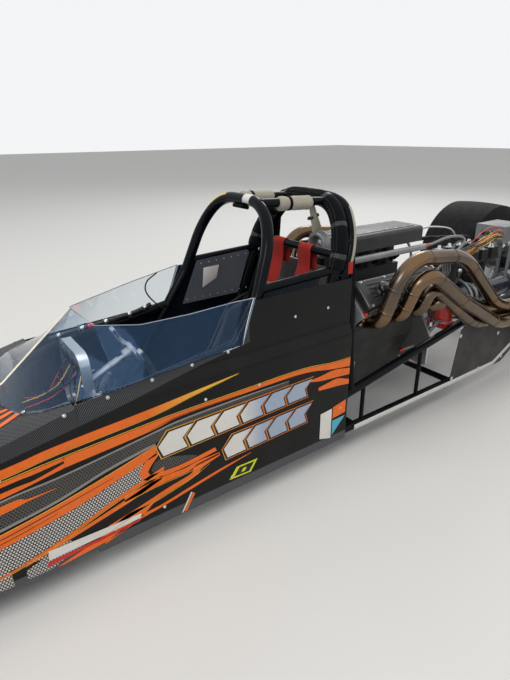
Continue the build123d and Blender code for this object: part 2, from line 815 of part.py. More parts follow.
# Way of each primary after its first bend: station, distance out, height
primary_ways = [
    [(-640, 366, 868), (-1078, 362, 822), (-1420, 362, 505), (-1560, 368, 474)],
    [(-715, 398, 810), (-1010, 402, 618), (-1370, 398, 425), (-1560, 396, 415)],
    [(-850, 350, 700), (-1230, 350, 440), (-1560, 346, 418)],
    [(-1000, 345, 640), (-1300, 340, 500), (-1560, 344, 474)],
]
nest_slots = [(nest, nest), (nest, -nest), (-nest, -nest), (-nest, nest)]
pipe_bend = 62
primaries = []
for port, way, (nest_y, nest_z) in zip(port_stations, primary_ways, nest_slots):
    points = [at(port, port_y + 3, port_z - 3), at(port - 10, port_y + 75, port_z + 10)]
    points += [at(*point) for point in way]
    points += [at(collector_x, collector_y + nest_y, collector_z + nest_z)]
    primaries.append(points)

header_sides = []
for sign in sides.values():
    pipes = []
    for points in primaries:
        way = [mirrored(point, sign) for point in points]
        pipes.append(bent_tube(way, [pipe_bend] * (len(way) - 2), pipe_r))
    with BuildPart() as header:
        add(pipes)
        with BuildSketch(Plane.YZ.offset(hoop_x + collector_x + 30)):
            with Locations((sign * collector_y, collector_z)):
                Circle(collector_r)
        with BuildSketch(Plane.YZ.offset(hoop_x + collector_x - 70)):
            with Locations((sign * collector_y, collector_z)):
                Circle(outlet_r)
        loft()
        with BuildSketch(Plane.YZ.offset(hoop_x + collector_x - 70)):
            with Locations((sign * collector_y, collector_z)):
                Circle(outlet_r)
        extrude(amount=collector_end - collector_x + 70)
        with BuildSketch(Plane.YZ.offset(hoop_x + collector_end)):
            with Locations((sign * collector_y, collector_z)):
                Circle(outlet_r - 2)
        extrude(amount=180, mode=Mode.SUBTRACT)
        normal = Vector(0, sign, -1).normalized()
        for port in port_stations:
            seat_point = at(port, sign * (port_y + 0.3), port_z - 0.3)
            with BuildSketch(Plane(seat_point, x_dir=(1, 0, 0), z_dir=normal)):
                RectangleRounded(92, 62, 14)
            extrude(amount=flange_t)
        add(head_cuts, mode=Mode.SUBTRACT)
    header_sides.append(header.part)
with BuildPart() as headers:
    add(header_sides)
headers.part.label = "headers"
export_step(headers.part, "parts/headers.step")

# Motor plates across the frame, ahead of and behind the block
motor_plate_t = 8
plate_half = rail_y - rail_r - joint_gap
with BuildPart() as motor_plates:
    for ahead, flip in ((engine_front + joint_gap, 1), (engine_back - joint_gap, -1)):
        with BuildSketch(Plane.YZ.offset(hoop_x + ahead)):
            with BuildLine():
                half = [(plate_half, 250), (plate_half, 410)]
                half += [(200, crank_height + 80), (90, crank_height + 205)]
                Polyline(half + [(-y, z) for y, z in reversed(half)], close=True)
            make_face()
            fillet(vertices(), 14)
        extrude(amount=flip * motor_plate_t)
motor_plates.part.label = "motor_plates"
export_step(motor_plates.part, "parts/motor_plates.step")

# Remote oil filter: a ribbed can standing on a mount that meets the bay rail
filter_x = -1165
filter_y = 212
filter_r = 50
mount_high = 26
filter_high = 125
mount_z = on_rail(bay_rail, filter_x).Z - mount_high / 2
mount_in = filter_y - filter_r
mount_out = rail_y - rail_r - joint_gap
with BuildPart() as oil_filter:
    with BuildSketch(Plane.XY.offset(mount_z)):
        with Locations((hoop_x + filter_x, (mount_in + mount_out) / 2)):
            Rectangle(80, mount_out - mount_in)
    extrude(amount=mount_high)
    with BuildSketch(Plane.XY.offset(mount_z + mount_high)):
        with Locations((hoop_x + filter_x, filter_y)):
            Circle(filter_r)
    extrude(amount=filter_high)
oil_filter.part.label = "oil_filter"
export_step(oil_filter.part, "parts/oil_filter.step")

# Transmission, coupler tube and the snout of the rear housing share one line
drive_z = slick_r
bell_back = engine_back - motor_plate_t - 2 * joint_gap
drive_rows = [
    # ahead, radius
    (bell_back, 190),
    (bell_back - 40, 188),
    (bell_back - 190, 128),
    (bell_back - 600, 112),
    (bell_back - 700, 62),
    (bell_back - 1120, 56),
]
with BuildPart() as transmission:
    with BuildSketch(Plane(at(0, 0, drive_z), x_dir=(1, 0, 0), z_dir=(0, -1, 0))):
        with BuildLine():
            Polyline([(drive_rows[0][0], 0)] + drive_rows + [(drive_rows[-1][0], 0)], close=True)
        make_face()
    revolve(axis=Axis(at(0, 0, drive_z), (1, 0, 0)))
transmission.part.label = "transmission"
export_step(transmission.part, "parts/transmission.step")

# Coil rack over the transmission: a plate on two legs with four coils a side
rack_x = -1630
rack_z = 640
rack_length = 380
rack_half = 110
with BuildPart() as coil_rack:
    with BuildSketch(Plane.XY.offset(rack_z)):
        with Locations((hoop_x + rack_x, 0)):
            RectangleRounded(rack_length, 2 * rack_half, 10)
    extrude(amount=5)
    for step in range(4):
        for sign in sides.values():
            with Locations(at(rack_x + rack_length * (step - 1.5) / 4, sign * 70, rack_z + 5 + 27)):
                Box(60, 52, 54)
    for ahead in (rack_x + 140, rack_x - 140):
        with Locations(at(ahead, 0, (rack_z + drive_z + 100) / 2)):
            Box(30, 100, rack_z - drive_z - 100)
    add(transmission.part, mode=Mode.SUBTRACT)
coil_rack.part.label = "coil_rack"
export_step(coil_rack.part, "parts/coil_rack.step")

# Control box on its stand over the coupler
with BuildPart() as control_box:
    with Locations(at(-2080, -60, 735)):
        Box(230, 190, 90)
    fillet(control_box.edges().filter_by(Axis.Z), 10)
    for across in (-35, 25):
        with Locations(at(-2080, across, (735 + drive_z) / 2)):
            Box(30, 6, 735 - drive_z)
    add(transmission.part, mode=Mode.SUBTRACT)
control_box.part.label = "control_box"
export_step(control_box.part, "parts/control_box.step")

# Rear axle housing: centre section, tubes through the frame plates, and a caliper bracket at each end
housing_end = 398
disc_y = 425
disc_t = 9
disc_r = 140
caliper_gap = 5.5
axle_plane = wheel_plane(rear_axle, slick_r)
axle_line = wheel_axis(rear_axle, slick_r)
with BuildPart() as rear_housing:
    with BuildSketch(axle_plane):
        with BuildLine():
            outline = [(housing_end, 0), (housing_end, 62), (housing_end - 14, 62)]
            outline += [(housing_end - 14, housing_tube_r), (115, housing_tube_r), (95, 118), (60, 150)]
            Polyline(outline + [(-y, z) for y, z in reversed(outline)], close=True)
        make_face()
    revolve(axis=axle_line)
    add(tube(at(rear_axle, 0, slick_r), at(bell_back - 1120 - joint_gap, 0, slick_r), 72))
    for sign in sides.values():
        with Locations(at(rear_axle + 118, sign * (disc_y - 2), slick_r)):
            Box(78, 52, 120)
        with Locations(at(rear_axle + 70, sign * (housing_end - 7), slick_r)):
            Box(90, 14, 60)
    with Locations(Location(at(rear_axle, 0, slick_r), (90, 0, 0))):
        Cylinder(axle_r + running, 3 * housing_end, mode=Mode.SUBTRACT)
    for sign in sides.values():
        with Locations(Location(at(rear_axle, sign * disc_y, slick_r), (90, 0, 0))):
            Cylinder(disc_r + caliper_gap, disc_t + 2 * caliper_gap, mode=Mode.SUBTRACT)
rear_housing.part.label = "rear_housing"
export_step(rear_housing.part, "parts/rear_housing.step")

# Rear axle: the shaft through the housing, a brake disc and a hub flange at each end
hub_face = 476
hub_r = 70
with BuildPart() as rear_axle_shaft:
    with BuildSketch(axle_plane):
        with BuildLine():
            outline = [
                (hub_face + 40, 0),
                (hub_face + 40, 30),
                (hub_face, 30),
                (hub_face, hub_r),
                (hub_face - 12, hub_r),
                (hub_face - 12, 44),
                (disc_y + disc_t / 2, 44),
                (disc_y + disc_t / 2, disc_r),
                (disc_y - disc_t / 2, disc_r),
                (disc_y - disc_t / 2, 44),
                (housing_end + clearance, 44),
                (housing_end + clearance, axle_r),
            ]
            Polyline(outline + [(-y, z) for y, z in reversed(outline)], close=True)
        make_face()
    revolve(axis=axle_line)
rear_axle_shaft.part.label = "rear_axle"
export_step(rear_axle_shaft.part, "parts/rear_axle.step")

# Rear rims: a deep barrel with a windowed disc on the hub face
slick_outer = slick_inner + slick_width
rim_wall = 5
rim_in = slick_inner + 12
rim_out = slick_outer - 12
rim_flange = 14
rim_disc_t = 10
windows = 5
with BuildPart() as rear_rims:
    with BuildSketch(axle_plane):
        with BuildLine():
            barrel = [
                (rim_in, rear_rim_r - rim_wall),
                (rim_out, rear_rim_r - rim_wall),
                (rim_out, rear_rim_r + rim_flange),
                (rim_out - 6, rear_rim_r + rim_flange),
                (rim_out - 6, rear_rim_r),
                (rim_in + 6, rear_rim_r),
                (rim_in + 6, rear_rim_r + rim_flange),
                (rim_in, rear_rim_r + rim_flange),
            ]
            Polyline(barrel, close=True)
        make_face()
        with BuildLine():
            disc = [
                (hub_face + joint_gap, 31),
                (hub_face + joint_gap, 90),
                (hub_face + 30, rear_rim_r - rim_wall + 1),
                (hub_face + 30 + rim_disc_t, rear_rim_r - rim_wall + 1),
                (hub_face + joint_gap + rim_disc_t, 90),
                (hub_face + joint_gap + rim_disc_t, 31),
            ]
            Polyline(disc, close=True)
        make_face()
    revolve(axis=axle_line)
    with BuildSketch(Plane(at(rear_axle, slick_outer, slick_r), x_dir=(1, 0, 0), z_dir=(0, -1, 0))):
        with PolarLocations(130, windows):
            SlotOverall(88, 56, rotation=90)
    extrude(amount=slick_outer - hub_face + 10, mode=Mode.SUBTRACT)
    mirror(about=Plane.XZ)
rear_rims.part.label = "rear_rims"
export_step(rear_rims.part, "parts/rear_rims.step")

# Slicks: bulged sidewalls, round shoulders and a nearly flat tread
bead_gap = 0.3
tread_half = 180
slick_mid = slick_inner + slick_width / 2
with BuildPart() as rear_slicks:
    with BuildSketch(axle_plane):
        with BuildLine():
            bead = (rim_out - rim_in) / 2 - 6 - bead_gap
            foot = rear_rim_r + bead_gap
            over_flange = rear_rim_r + rim_flange + bead_gap
            wall_r = (rear_rim_r + slick_r) / 2 + 8
            Line((slick_mid - bead, foot), (slick_mid + bead, foot))
            Line((slick_mid + bead, foot), (slick_mid + bead, over_flange))
            ThreePointArc((slick_mid + bead, over_flange), (slick_mid + slick_width / 2, wall_r),
                          (slick_mid + tread_half, slick_r - 9))
            ThreePointArc((slick_mid + tread_half, slick_r - 9), (slick_mid, slick_r),
                          (slick_mid - tread_half, slick_r - 9))
            ThreePointArc((slick_mid - tread_half, slick_r - 9), (slick_mid - slick_width / 2, wall_r),
                          (slick_mid - bead, over_flange))
            Line((slick_mid - bead, over_flange), (slick_mid - bead, foot))
        make_face()
    revolve(axis=axle_line)
    mirror(about=Plane.XZ)
rear_slicks.part.label = "rear_slicks"
export_step(rear_slicks.part, "parts/rear_slicks.step")

# Dark lower panels of the engine bay, between the lower rail and the bay rail
panel_t = 3
panel_y = rail_y + rail_r + joint_gap
with BuildPart() as bay_panels:
    with BuildSketch(Plane.XZ.offset(-panel_y)):
        with BuildLine():
            Polyline(
                (hoop_x - 1160, rail_z - 4),
                (hoop_x - 1640, rail_z - 4),
                (hoop_x - 1730, rail_z + 44),
                (hoop_x - 1700, 460),
                (hoop_x - 1460, 452),
                (hoop_x - 1200, 404),
                close=True,
            )
        make_face()
        fillet(vertices(), 12)
    extrude(amount=-panel_t)
    mirror(about=Plane.XZ)
bay_panels.part.label = "bay_panels"
export_step(bay_panels.part, "parts/bay_panels.step")

# Rear bar: a bent push bar behind the axle, with a bored tab for the parachute's tether
bar_y = rear_rail_y - plate_thick / 2 - bar_r - joint_gap
bar_z = 470
bar_x = tail_end + bar_r
bore_r = 8
tab_rise = 46
bar_path = [
    at(rear_axle - 30, bar_y, bar_z),
    at(bar_x, bar_y - 60, bar_z),
    at(bar_x, 60 - bar_y, bar_z),
    at(rear_axle - 30, -bar_y, bar_z),
]
with BuildPart() as rear_bar:
    add(bent_tube(bar_path, [60, 60], bar_r))
    with BuildSketch(Plane(at(bar_x, 6, bar_z), x_dir=(1, 0, 0), z_dir=(0, -1, 0))):
        with Locations((0, tab_rise / 2)):
            Rectangle(2 * bar_r, tab_rise)
        with Locations((0, tab_rise)):
            Circle(bar_r)
            Circle(bore_r, mode=Mode.SUBTRACT)
    extrude(amount=12)
rear_bar.part.label = "rear_bar"
export_step(rear_bar.part, "parts/rear_bar.step")

# Front axle: a beam through the nose with a boss for each kingpin
boss_r = 19
boss_high = 50
beam_left = at(front_axle, kingpin_half, front_tyre_r)
with BuildPart() as front_axle_beam:
    add(tube(mirrored(beam_left, -1), beam_left, axle_beam_r))
    for sign in sides.values():
        with Locations(at(front_axle, sign * kingpin_half, front_tyre_r)):
            Cylinder(boss_r, boss_high)
            Cylinder(kingpin_r + running, 2 * boss_high, mode=Mode.SUBTRACT)
front_axle_beam.part.label = "front_axle"
export_step(front_axle_beam.part, "parts/front_axle.step")

# Knuckles: a fork over the boss with its kingpin, the spindle outside and the steering arm behind
fork_t = 10
fork_gap = 0.5
spindle_start = kingpin_half + boss_r + clearance
spindle_end = front_track_half + 42
pin_r = 5
for side, sign in sides.items():
    kingpin = at(front_axle, sign * kingpin_half, front_tyre_r)
    with BuildPart() as knuckle:
        with Locations(kingpin):
            Cylinder(kingpin_r, boss_high + 2 * fork_t)
        for level in (-1, 1):
            height = level * (boss_high / 2 + fork_gap + fork_t / 2)
            with Locations(kingpin + Vector(0, 0, height)):
                Cylinder(boss_r, fork_t)
            with Locations(kingpin + Vector(0, sign * (boss_r + clearance) / 2, height)):
                Box(2 * boss_r, boss_r + clearance, fork_t)
        with Locations(at(front_axle, sign * (spindle_start + 6), front_tyre_r)):
            Box(2 * boss_r, 12, boss_high + 2 * fork_t + 2 * fork_gap)
        spindle_tip = at(front_axle, sign * spindle_end, front_tyre_r)
        add(tube(at(front_axle, sign * spindle_start, front_tyre_r), spindle_tip, spindle_r))
        # Steering arm at the level of the lower fork plate, with the pin for the tie rod's eye
        arm_z = front_tyre_r - boss_high / 2 - fork_gap - fork_t
        with BuildSketch(Plane.XY.offset(arm_z)):
            with Locations((hoop_x + front_axle - arm_length / 2, sign * kingpin_half)):
                SlotOverall(arm_length + 24, 24)
        extrude(amount=fork_t)
        with Locations(at(front_axle - arm_length, sign * kingpin_half, arm_z - 9)):
            Cylinder(pin_r, 20)
    knuckle.part.label = f"{side}_knuckle"
    export_step(knuckle.part, f"parts/{side}_knuckle.step")

# Tie rod under the two steering arms, with an eye round each arm's pin
eye_r = 12
eye_t = 12
eye_play = 0.5
with BuildPart() as tie_rod:
    rod_z = arm_z - 1 - eye_t / 2
    add(tube(at(front_axle - arm_length, -kingpin_half + eye_r - 2, rod_z),
             at(front_axle - arm_length, kingpin_half - eye_r + 2, rod_z), tie_rod_r - 3))
    for sign in sides.values():
        with Locations(at(front_axle - arm_length, sign * kingpin_half, rod_z)):
            Cylinder(eye_r, eye_t)
            Cylinder(pin_r + (running if sign > 0 else eye_play), 2 * eye_t, mode=Mode.SUBTRACT)
tie_rod.part.label = "tie_rod"
export_step(tie_rod.part, "parts/tie_rod.step")

# Front wheels: a hub on the spindle, a disc with round holes, a narrow rim and a ribbed tyre's round section
hub_in = spindle_start + 12 + clearance
hub_out = front_track_half + 34
front_hub_r = 32
for side, sign in sides.items():
    wheel_face = Plane(at(front_axle, 0, front_tyre_r), x_dir=(0, 1, 0), z_dir=(1, 0, 0))
    wheel_line = wheel_axis(front_axle, front_tyre_r)
    with BuildPart() as front_rim:
        with BuildSketch(wheel_face):
            with BuildLine():
                mid = front_track_half
                outline = [
                    (hub_in, spindle_r + running), (hub_out, spindle_r + running), (hub_out, front_hub_r),
                    (mid + 5, front_hub_r + 12), (mid + 5, front_rim_r - 22), (mid + 24, front_rim_r - 8),
                    (mid + 24, front_rim_r + 8), (mid + 20, front_rim_r + 8), (mid + 20, front_rim_r),
                    (mid - 20, front_rim_r), (mid - 20, front_rim_r + 8), (mid - 24, front_rim_r + 8),
                    (mid - 24, front_rim_r - 8), (mid - 3, front_rim_r - 22), (mid - 3, front_hub_r + 12),
                    (hub_in, front_hub_r),
                ]
                Polyline([(sign * y, z) for y, z in outline], close=True)
            make_face()
        revolve(axis=wheel_line)
        hole_start = at(front_axle, sign * (mid + 60), front_tyre_r)
        with BuildSketch(Plane(hole_start, x_dir=(1, 0, 0), z_dir=(0, -sign, 0))):
            with PolarLocations(122, 8):
                Circle(31)
        extrude(amount=120, mode=Mode.SUBTRACT)
    front_rim.part.label = f"{side}_front_rim"
    export_step(front_rim.part, f"parts/{side}_front_rim.step")
    with BuildPart() as front_tyre:
        with BuildSketch(wheel_face):
            with BuildLine():
                low = front_rim_r + bead_gap
                over_flange = front_rim_r + 8 + 2
                half = front_tyre_width / 2
                Line((sign * (mid - 19.5), low), (sign * (mid + 19.5), low))
                Line((sign * (mid + 19.5), low), (sign * (mid + 19.5), over_flange))
                ThreePointArc((sign * (mid + 19.5), over_flange), (sign * (mid + half), low + 36),
                              (sign * (mid + half - 12), front_tyre_r - 9))
                ThreePointArc((sign * (mid + half - 12), front_tyre_r - 9), (sign * mid, front_tyre_r),
                              (sign * (mid - half + 12), front_tyre_r - 9))
                ThreePointArc((sign * (mid - half + 12), front_tyre_r - 9), (sign * (mid - half), low + 36),
                              (sign * (mid - 19.5), over_flange))
                Line((sign * (mid - 19.5), over_flange), (sign * (mid - 19.5), low))
            make_face()
        revolve(axis=wheel_line)
    front_tyre.part.label = f"{side}_front_tyre"
    export_step(front_tyre.part, f"parts/{side}_front_tyre.step")
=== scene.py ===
import bpy
import bmesh
import math
import random
import mathutils
import mathutils.kdtree
import mathutils.noise
from mathutils import Matrix, Vector
from mathutils.bvhtree import BVHTree


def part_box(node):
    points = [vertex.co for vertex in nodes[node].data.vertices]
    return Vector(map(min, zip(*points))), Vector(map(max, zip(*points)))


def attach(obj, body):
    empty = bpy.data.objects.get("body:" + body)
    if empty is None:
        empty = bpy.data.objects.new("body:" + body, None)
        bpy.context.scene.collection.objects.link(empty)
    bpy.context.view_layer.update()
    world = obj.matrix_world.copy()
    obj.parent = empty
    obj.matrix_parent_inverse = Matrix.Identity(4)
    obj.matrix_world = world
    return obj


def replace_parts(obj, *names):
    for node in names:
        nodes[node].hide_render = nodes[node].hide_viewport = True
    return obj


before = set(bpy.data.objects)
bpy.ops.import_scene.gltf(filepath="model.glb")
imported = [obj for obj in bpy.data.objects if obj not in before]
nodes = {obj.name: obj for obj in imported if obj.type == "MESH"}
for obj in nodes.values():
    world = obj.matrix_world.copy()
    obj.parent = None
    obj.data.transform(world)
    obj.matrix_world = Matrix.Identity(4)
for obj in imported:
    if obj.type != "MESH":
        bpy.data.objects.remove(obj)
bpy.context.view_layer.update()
scene = bpy.context.scene
scene.view_settings.view_transform = "Standard"

hoopX = -0.24  # x of the front hoop's foot; places along the car are counted forward from it
sides = {"left": 1, "right": -1}
xAxis, yAxis, zAxis = Vector((1, 0, 0)), Vector((0, 1, 0)), Vector((0, 0, 1))
circle = 2 * math.pi


def at(ahead, across, up):
    return Vector((hoopX + ahead, across, up))


def mm(ahead, across, up):
    return at(ahead / 1000, across / 1000, up / 1000)


def mirroredPath(points, sign):
    return [mm(ahead, sign * across, up) for ahead, across, up in points]


# camera at the photo's angle
cameraSet = {"place": (0.692, 1.554, 1.307), "yaw": 54.66, "pitch": 22.9, "roll": -0.49, "lens": 25.98,
             "sensor": 36, "nearest": 0.02}


def makeCamera():
    yaw, pitch, roll = (math.radians(cameraSet[key]) for key in ("yaw", "pitch", "roll"))
    ahead = Vector((-math.cos(yaw) * math.cos(pitch), -math.sin(yaw) * math.cos(pitch), -math.sin(pitch)))
    right = ahead.cross(zAxis).normalized()
    up = right.cross(ahead)
    turnedRight = right * math.cos(roll) + up * math.sin(roll)
    turnedUp = up * math.cos(roll) - right * math.sin(roll)
    data = bpy.data.cameras.new("photoCamera")
    data.lens = cameraSet["lens"]
    data.sensor_width = cameraSet["sensor"]
    data.clip_start = cameraSet["nearest"]
    camera = bpy.data.objects.new("photoCamera", data)
    turn = Matrix((turnedRight, turnedUp, -ahead)).transposed().to_4x4()
    camera.matrix_world = Matrix.Translation(cameraSet["place"]) @ turn
    scene.collection.objects.link(camera)
    scene.camera = camera


makeCamera()
print("camera made")


# material tools
class Wiring:
    # a thin layer over a node tree: add nodes, link them and join values
    def __init__(self, tree):
        self.tree = tree

    def add(self, kind, **settings):
        node = self.tree.nodes.new(kind)
        for key, value in settings.items():
            setattr(node, key, value)
        return node

    def link(self, source, target):
        self.tree.links.new(source, target)

    def put(self, socket, value):
        if isinstance(value, bpy.types.NodeSocket):
            self.link(value, socket)
        elif isinstance(value, tuple) and socket.type == "RGBA" and len(value) == 3:
            socket.default_value = value + (1,)
        else:
            socket.default_value = value

    def math(self, operation, first, second=None, third=None, clamp=False):
        node = self.add("ShaderNodeMath", operation=operation, use_clamp=clamp)
        for socket, value in zip(node.inputs, (first, second, third)):
            if value is not None:
                self.put(socket, value)
        return node.outputs[0]

    def mixColor(self, factor, first, second):
        node = self.add("ShaderNodeMix", data_type="RGBA")
        self.put(node.inputs["Factor"], factor)
        self.put(node.inputs["A"], first)
        self.put(node.inputs["B"], second)
        return node.outputs["Result"]

    def ramp(self, value, low, high, outLow=0.0, outHigh=1.0):
        node = self.add("ShaderNodeMapRange", clamp=True)
        for key, number in (("Value", value), ("From Min", low), ("From Max", high),
                            ("To Min", outLow), ("To Max", outHigh)):
            self.put(node.inputs[key], number)
        return node.outputs["Result"]

    def place(self):
        return self.add("ShaderNodeTexCoord").outputs["Object"]

    def split(self, vector):
        node = self.add("ShaderNodeSeparateXYZ")
        self.link(vector, node.inputs[0])
        return node.outputs

    def noise(self, vector, scale, detail=3.0, roughness=0.55):
        node = self.add("ShaderNodeTexNoise")
        self.link(vector, node.inputs["Vector"])
        node.inputs["Scale"].default_value = scale
        node.inputs["Detail"].default_value = detail
        node.inputs["Roughness"].default_value = roughness
        return node.outputs["Fac"]

    def mottle(self, place, scale, detail, low, high, share, first, second):
        # the second colour over the first in patches
        return self.mixColor(self.ramp(self.noise(place, scale, detail), low, high, 0.0, share), first, second)

    def stretch(self, vector, scale):
        node = self.add("ShaderNodeVectorMath", operation="MULTIPLY")
        self.link(vector, node.inputs[0])
        node.inputs[1].default_value = scale
        return node.outputs[0]

    def bump(self, height, strength, distance):
        node = self.add("ShaderNodeBump")
        node.inputs["Strength"].default_value = strength
        node.inputs["Distance"].default_value = distance
        self.link(height, node.inputs["Height"])
        return node.outputs["Normal"]

    def group(self, tree, **values):
        node = self.add("ShaderNodeGroup")
        node.node_tree = tree
        for key, value in values.items():
            self.put(node.inputs[key], value)
        return node.outputs


def groupTree(name, inputs, outputs):
    tree = bpy.data.node_groups.new(name, "ShaderNodeTree")
    for label, kind, value in inputs:
        socket = tree.interface.new_socket(name=label, in_out="INPUT", socket_type=kind)
        socket.default_value = value
    for label, kind in outputs:
        tree.interface.new_socket(name=label, in_out="OUTPUT", socket_type=kind)
    wiring = Wiring(tree)
    return tree, wiring, wiring.add("NodeGroupInput").outputs, wiring.add("NodeGroupOutput").inputs


def buildEdgeWear():
    # a mask that is 1 along worn edges, broken up by noise
    tree, wire, given, out = groupTree(
        "edgeWear",
        [("Width", "NodeSocketFloat", 0.0015), ("Amount", "NodeSocketFloat", 0.5)],
        [("Mask", "NodeSocketFloat")])
    bevel = wire.add("ShaderNodeBevel", samples=4)
    wire.link(given["Width"], bevel.inputs["Radius"])
    plain = wire.add("ShaderNodeNewGeometry")
    dot = wire.add("ShaderNodeVectorMath", operation="DOT_PRODUCT")
    wire.link(bevel.outputs[0], dot.inputs[0])
    wire.link(plain.outputs["Normal"], dot.inputs[1])
    edge = wire.ramp(dot.outputs["Value"], 0.995, 0.88)
    broken = wire.ramp(wire.noise(wire.place(), 34, 5), 0.42, 0.62)
    mask = wire.math("MULTIPLY", edge, broken)
    wire.link(wire.math("MULTIPLY", mask, given["Amount"]), out["Mask"])
    return tree


def buildDust():
    # road dust: more low down and on faces that look up
    tree, wire, given, out = groupTree(
        "roadDust",
        [("Amount", "NodeSocketFloat", 0.3), ("Scale", "NodeSocketFloat", 9.0)],
        [("Mask", "NodeSocketFloat")])
    place = wire.place()
    noise = wire.add("ShaderNodeTexNoise")
    wire.link(place, noise.inputs["Vector"])
    wire.link(given["Scale"], noise.inputs["Scale"])
    noise.inputs["Detail"].default_value = 6
    low = wire.ramp(wire.split(place)[2], 0.7, 0.05, 0.25, 1.0)
    upward = wire.ramp(wire.split(wire.add("ShaderNodeNewGeometry").outputs["Normal"])[2], -0.2, 1.0, 0.35, 1.0)
    patch = wire.ramp(noise.outputs["Fac"], 0.38, 0.72)
    mask = wire.math("MULTIPLY", wire.math("MULTIPLY", patch, low), upward)
    wire.link(wire.math("MULTIPLY", mask, given["Amount"]), out["Mask"])
    return tree


def buildWeave():
    # 2x2 twill of carbon cloth in the plane of x and z, or x and y where the face looks up
    tree, wire, given, out = groupTree(
        "carbonWeave",
        [("Tow", "NodeSocketFloat", 0.0035)],
        [("Shade", "NodeSocketFloat"), ("Height", "NodeSocketFloat")])
    x, y, z = wire.split(wire.place())[:3]
    upFace = wire.math("GREATER_THAN", wire.math(
        "ABSOLUTE", wire.split(wire.add("ShaderNodeNewGeometry").outputs["Normal"])[2]), 0.7)
    across = wire.math("ADD", wire.math("MULTIPLY", y, upFace),
                       wire.math("MULTIPLY", z, wire.math("SUBTRACT", 1.0, upFace)))
    u = wire.math("DIVIDE", x, given["Tow"])
    v = wire.math("DIVIDE", across, given["Tow"])
    step = wire.math("FLOORED_MODULO", wire.math("ADD", wire.math("FLOOR", u), wire.math("FLOOR", v)), 4.0)
    warp = wire.math("LESS_THAN", step, 1.5)
    along = wire.math("PINGPONG", u, 0.5)
    over = wire.math("PINGPONG", v, 0.5)
    height = wire.math("ADD", wire.math("MULTIPLY", warp, over),
                       wire.math("MULTIPLY", wire.math("SUBTRACT", 1.0, warp), along))
    wire.link(warp, out["Shade"])
    wire.link(height, out["Height"])
    return tree


def buildDots():
    # staggered round dots in the plane of x and z: 1 inside a dot
    tree, wire, given, out = groupTree(
        "dotMesh",
        [("Pitch", "NodeSocketFloat", 0.0095), ("Radius", "NodeSocketFloat", 0.36)],
        [("Mask", "NodeSocketFloat")])
    x, _, z = wire.split(wire.place())[:3]
    u = wire.math("DIVIDE", x, given["Pitch"])
    v = wire.math("DIVIDE", z, wire.math("MULTIPLY", given["Pitch"], 1.7))
    nearest = []
    for shift in (0.0, 0.5):
        du = wire.math("SUBTRACT", wire.math("FRACT", wire.math("ADD", u, shift)), 0.5)
        dv = wire.math("MULTIPLY", wire.math("SUBTRACT", wire.math("FRACT", wire.math("ADD", v, shift)), 0.5), 1.7)
        square = wire.math("ADD", wire.math("MULTIPLY", du, du), wire.math("MULTIPLY", dv, dv))
        nearest.append(wire.math("SQRT", square))
    distance = wire.math("MINIMUM", *nearest)
    wire.link(wire.ramp(wire.math("SUBTRACT", distance, given["Radius"]), 0.05, -0.05), out["Mask"])
    return tree


edgeWear = buildEdgeWear()
roadDust = buildDust()
carbonWeave = buildWeave()
dotMesh = buildDots()
dustColor = (0.36, 0.32, 0.26)


def newMaterial(name, **sockets):
    material = bpy.data.materials.new(name)
    material.use_nodes = True
    wire = Wiring(material.node_tree)
    shader = material.node_tree.nodes["Principled BSDF"]
    for key, value in sockets.items():
        wire.put(shader.inputs[key.replace("_", " ")], value)
    return material, wire, shader.inputs


# studio: pale floor, pale surround and three soft lamps
studio = {"floor": (0.72, 0.72, 0.71), "floorRough": 0.8, "reach": 40, "surround": (0.90, 0.91, 0.92), "fill": 0.46}
lamps = {
    # place, target, size, power, colour
    "keyLamp": ((0.2, 1.5, 9.5), (-0.2, 0, 0.4), 9.0, 460, (1.0, 0.97, 0.92)),
    "frontLamp": ((6.0, 4.0, 6.0), (0.6, 0, 0.4), 4.0, 190, (1, 1, 1)),
    "rearLamp": ((-7.0, -5.0, 6.0), (-1.6, 0, 0.4), 4.0, 190, (1, 1, 1)),
}


def makeStudio():
    world = bpy.data.worlds.new("studioWorld")
    scene.world = world
    world.use_nodes = True
    wire = Wiring(world.node_tree)
    path = wire.add("ShaderNodeLightPath").outputs
    seen = wire.math("MAXIMUM", path["Is Camera Ray"], path["Is Glossy Ray"])
    seen = wire.math("MAXIMUM", seen, path["Is Transmission Ray"])
    shade = wire.mixColor(seen, (studio["fill"],) * 3, studio["surround"])
    wire.link(shade, world.node_tree.nodes["Background"].inputs["Color"])
    floorMesh = bpy.data.meshes.new("studioFloor")
    reach = studio["reach"]
    corners = [(-reach, -reach, 0), (reach, -reach, 0), (reach, reach, 0), (-reach, reach, 0)]
    floorMesh.from_pydata(corners, [], [(0, 1, 2, 3)])
    floor = bpy.data.objects.new("studioFloor", floorMesh)
    scene.collection.objects.link(floor)
    floorMesh.materials.append(newMaterial("studioFloor", Base_Color=studio["floor"],
                                           Roughness=studio["floorRough"])[0])
    for name, (place, target, size, power, color) in lamps.items():
        data = bpy.data.lights.new(name, "AREA")
        data.shape, data.size, data.energy, data.color = "DISK", size, power, color
        lamp = bpy.data.objects.new(name, data)
        lamp.location = place
        lamp.rotation_euler = (Vector(target) - Vector(place)).to_track_quat("-Z", "Y").to_euler()
        lamp.visible_glossy = name != "keyLamp"  # its round image would show in the near pane
        scene.collection.objects.link(lamp)


makeStudio()


# finishes
def toned(color, factor, lift=0.0):
    return tuple(min(1, c * factor + lift) for c in color)


def dusted(wire, into, base, amount, scale):
    # lays road dust over a base colour and hands back its mask
    mask = wire.group(roadDust, Amount=amount, Scale=scale)["Mask"]
    wire.put(into["Base Color"], wire.mixColor(mask, base, dustColor))
    return mask


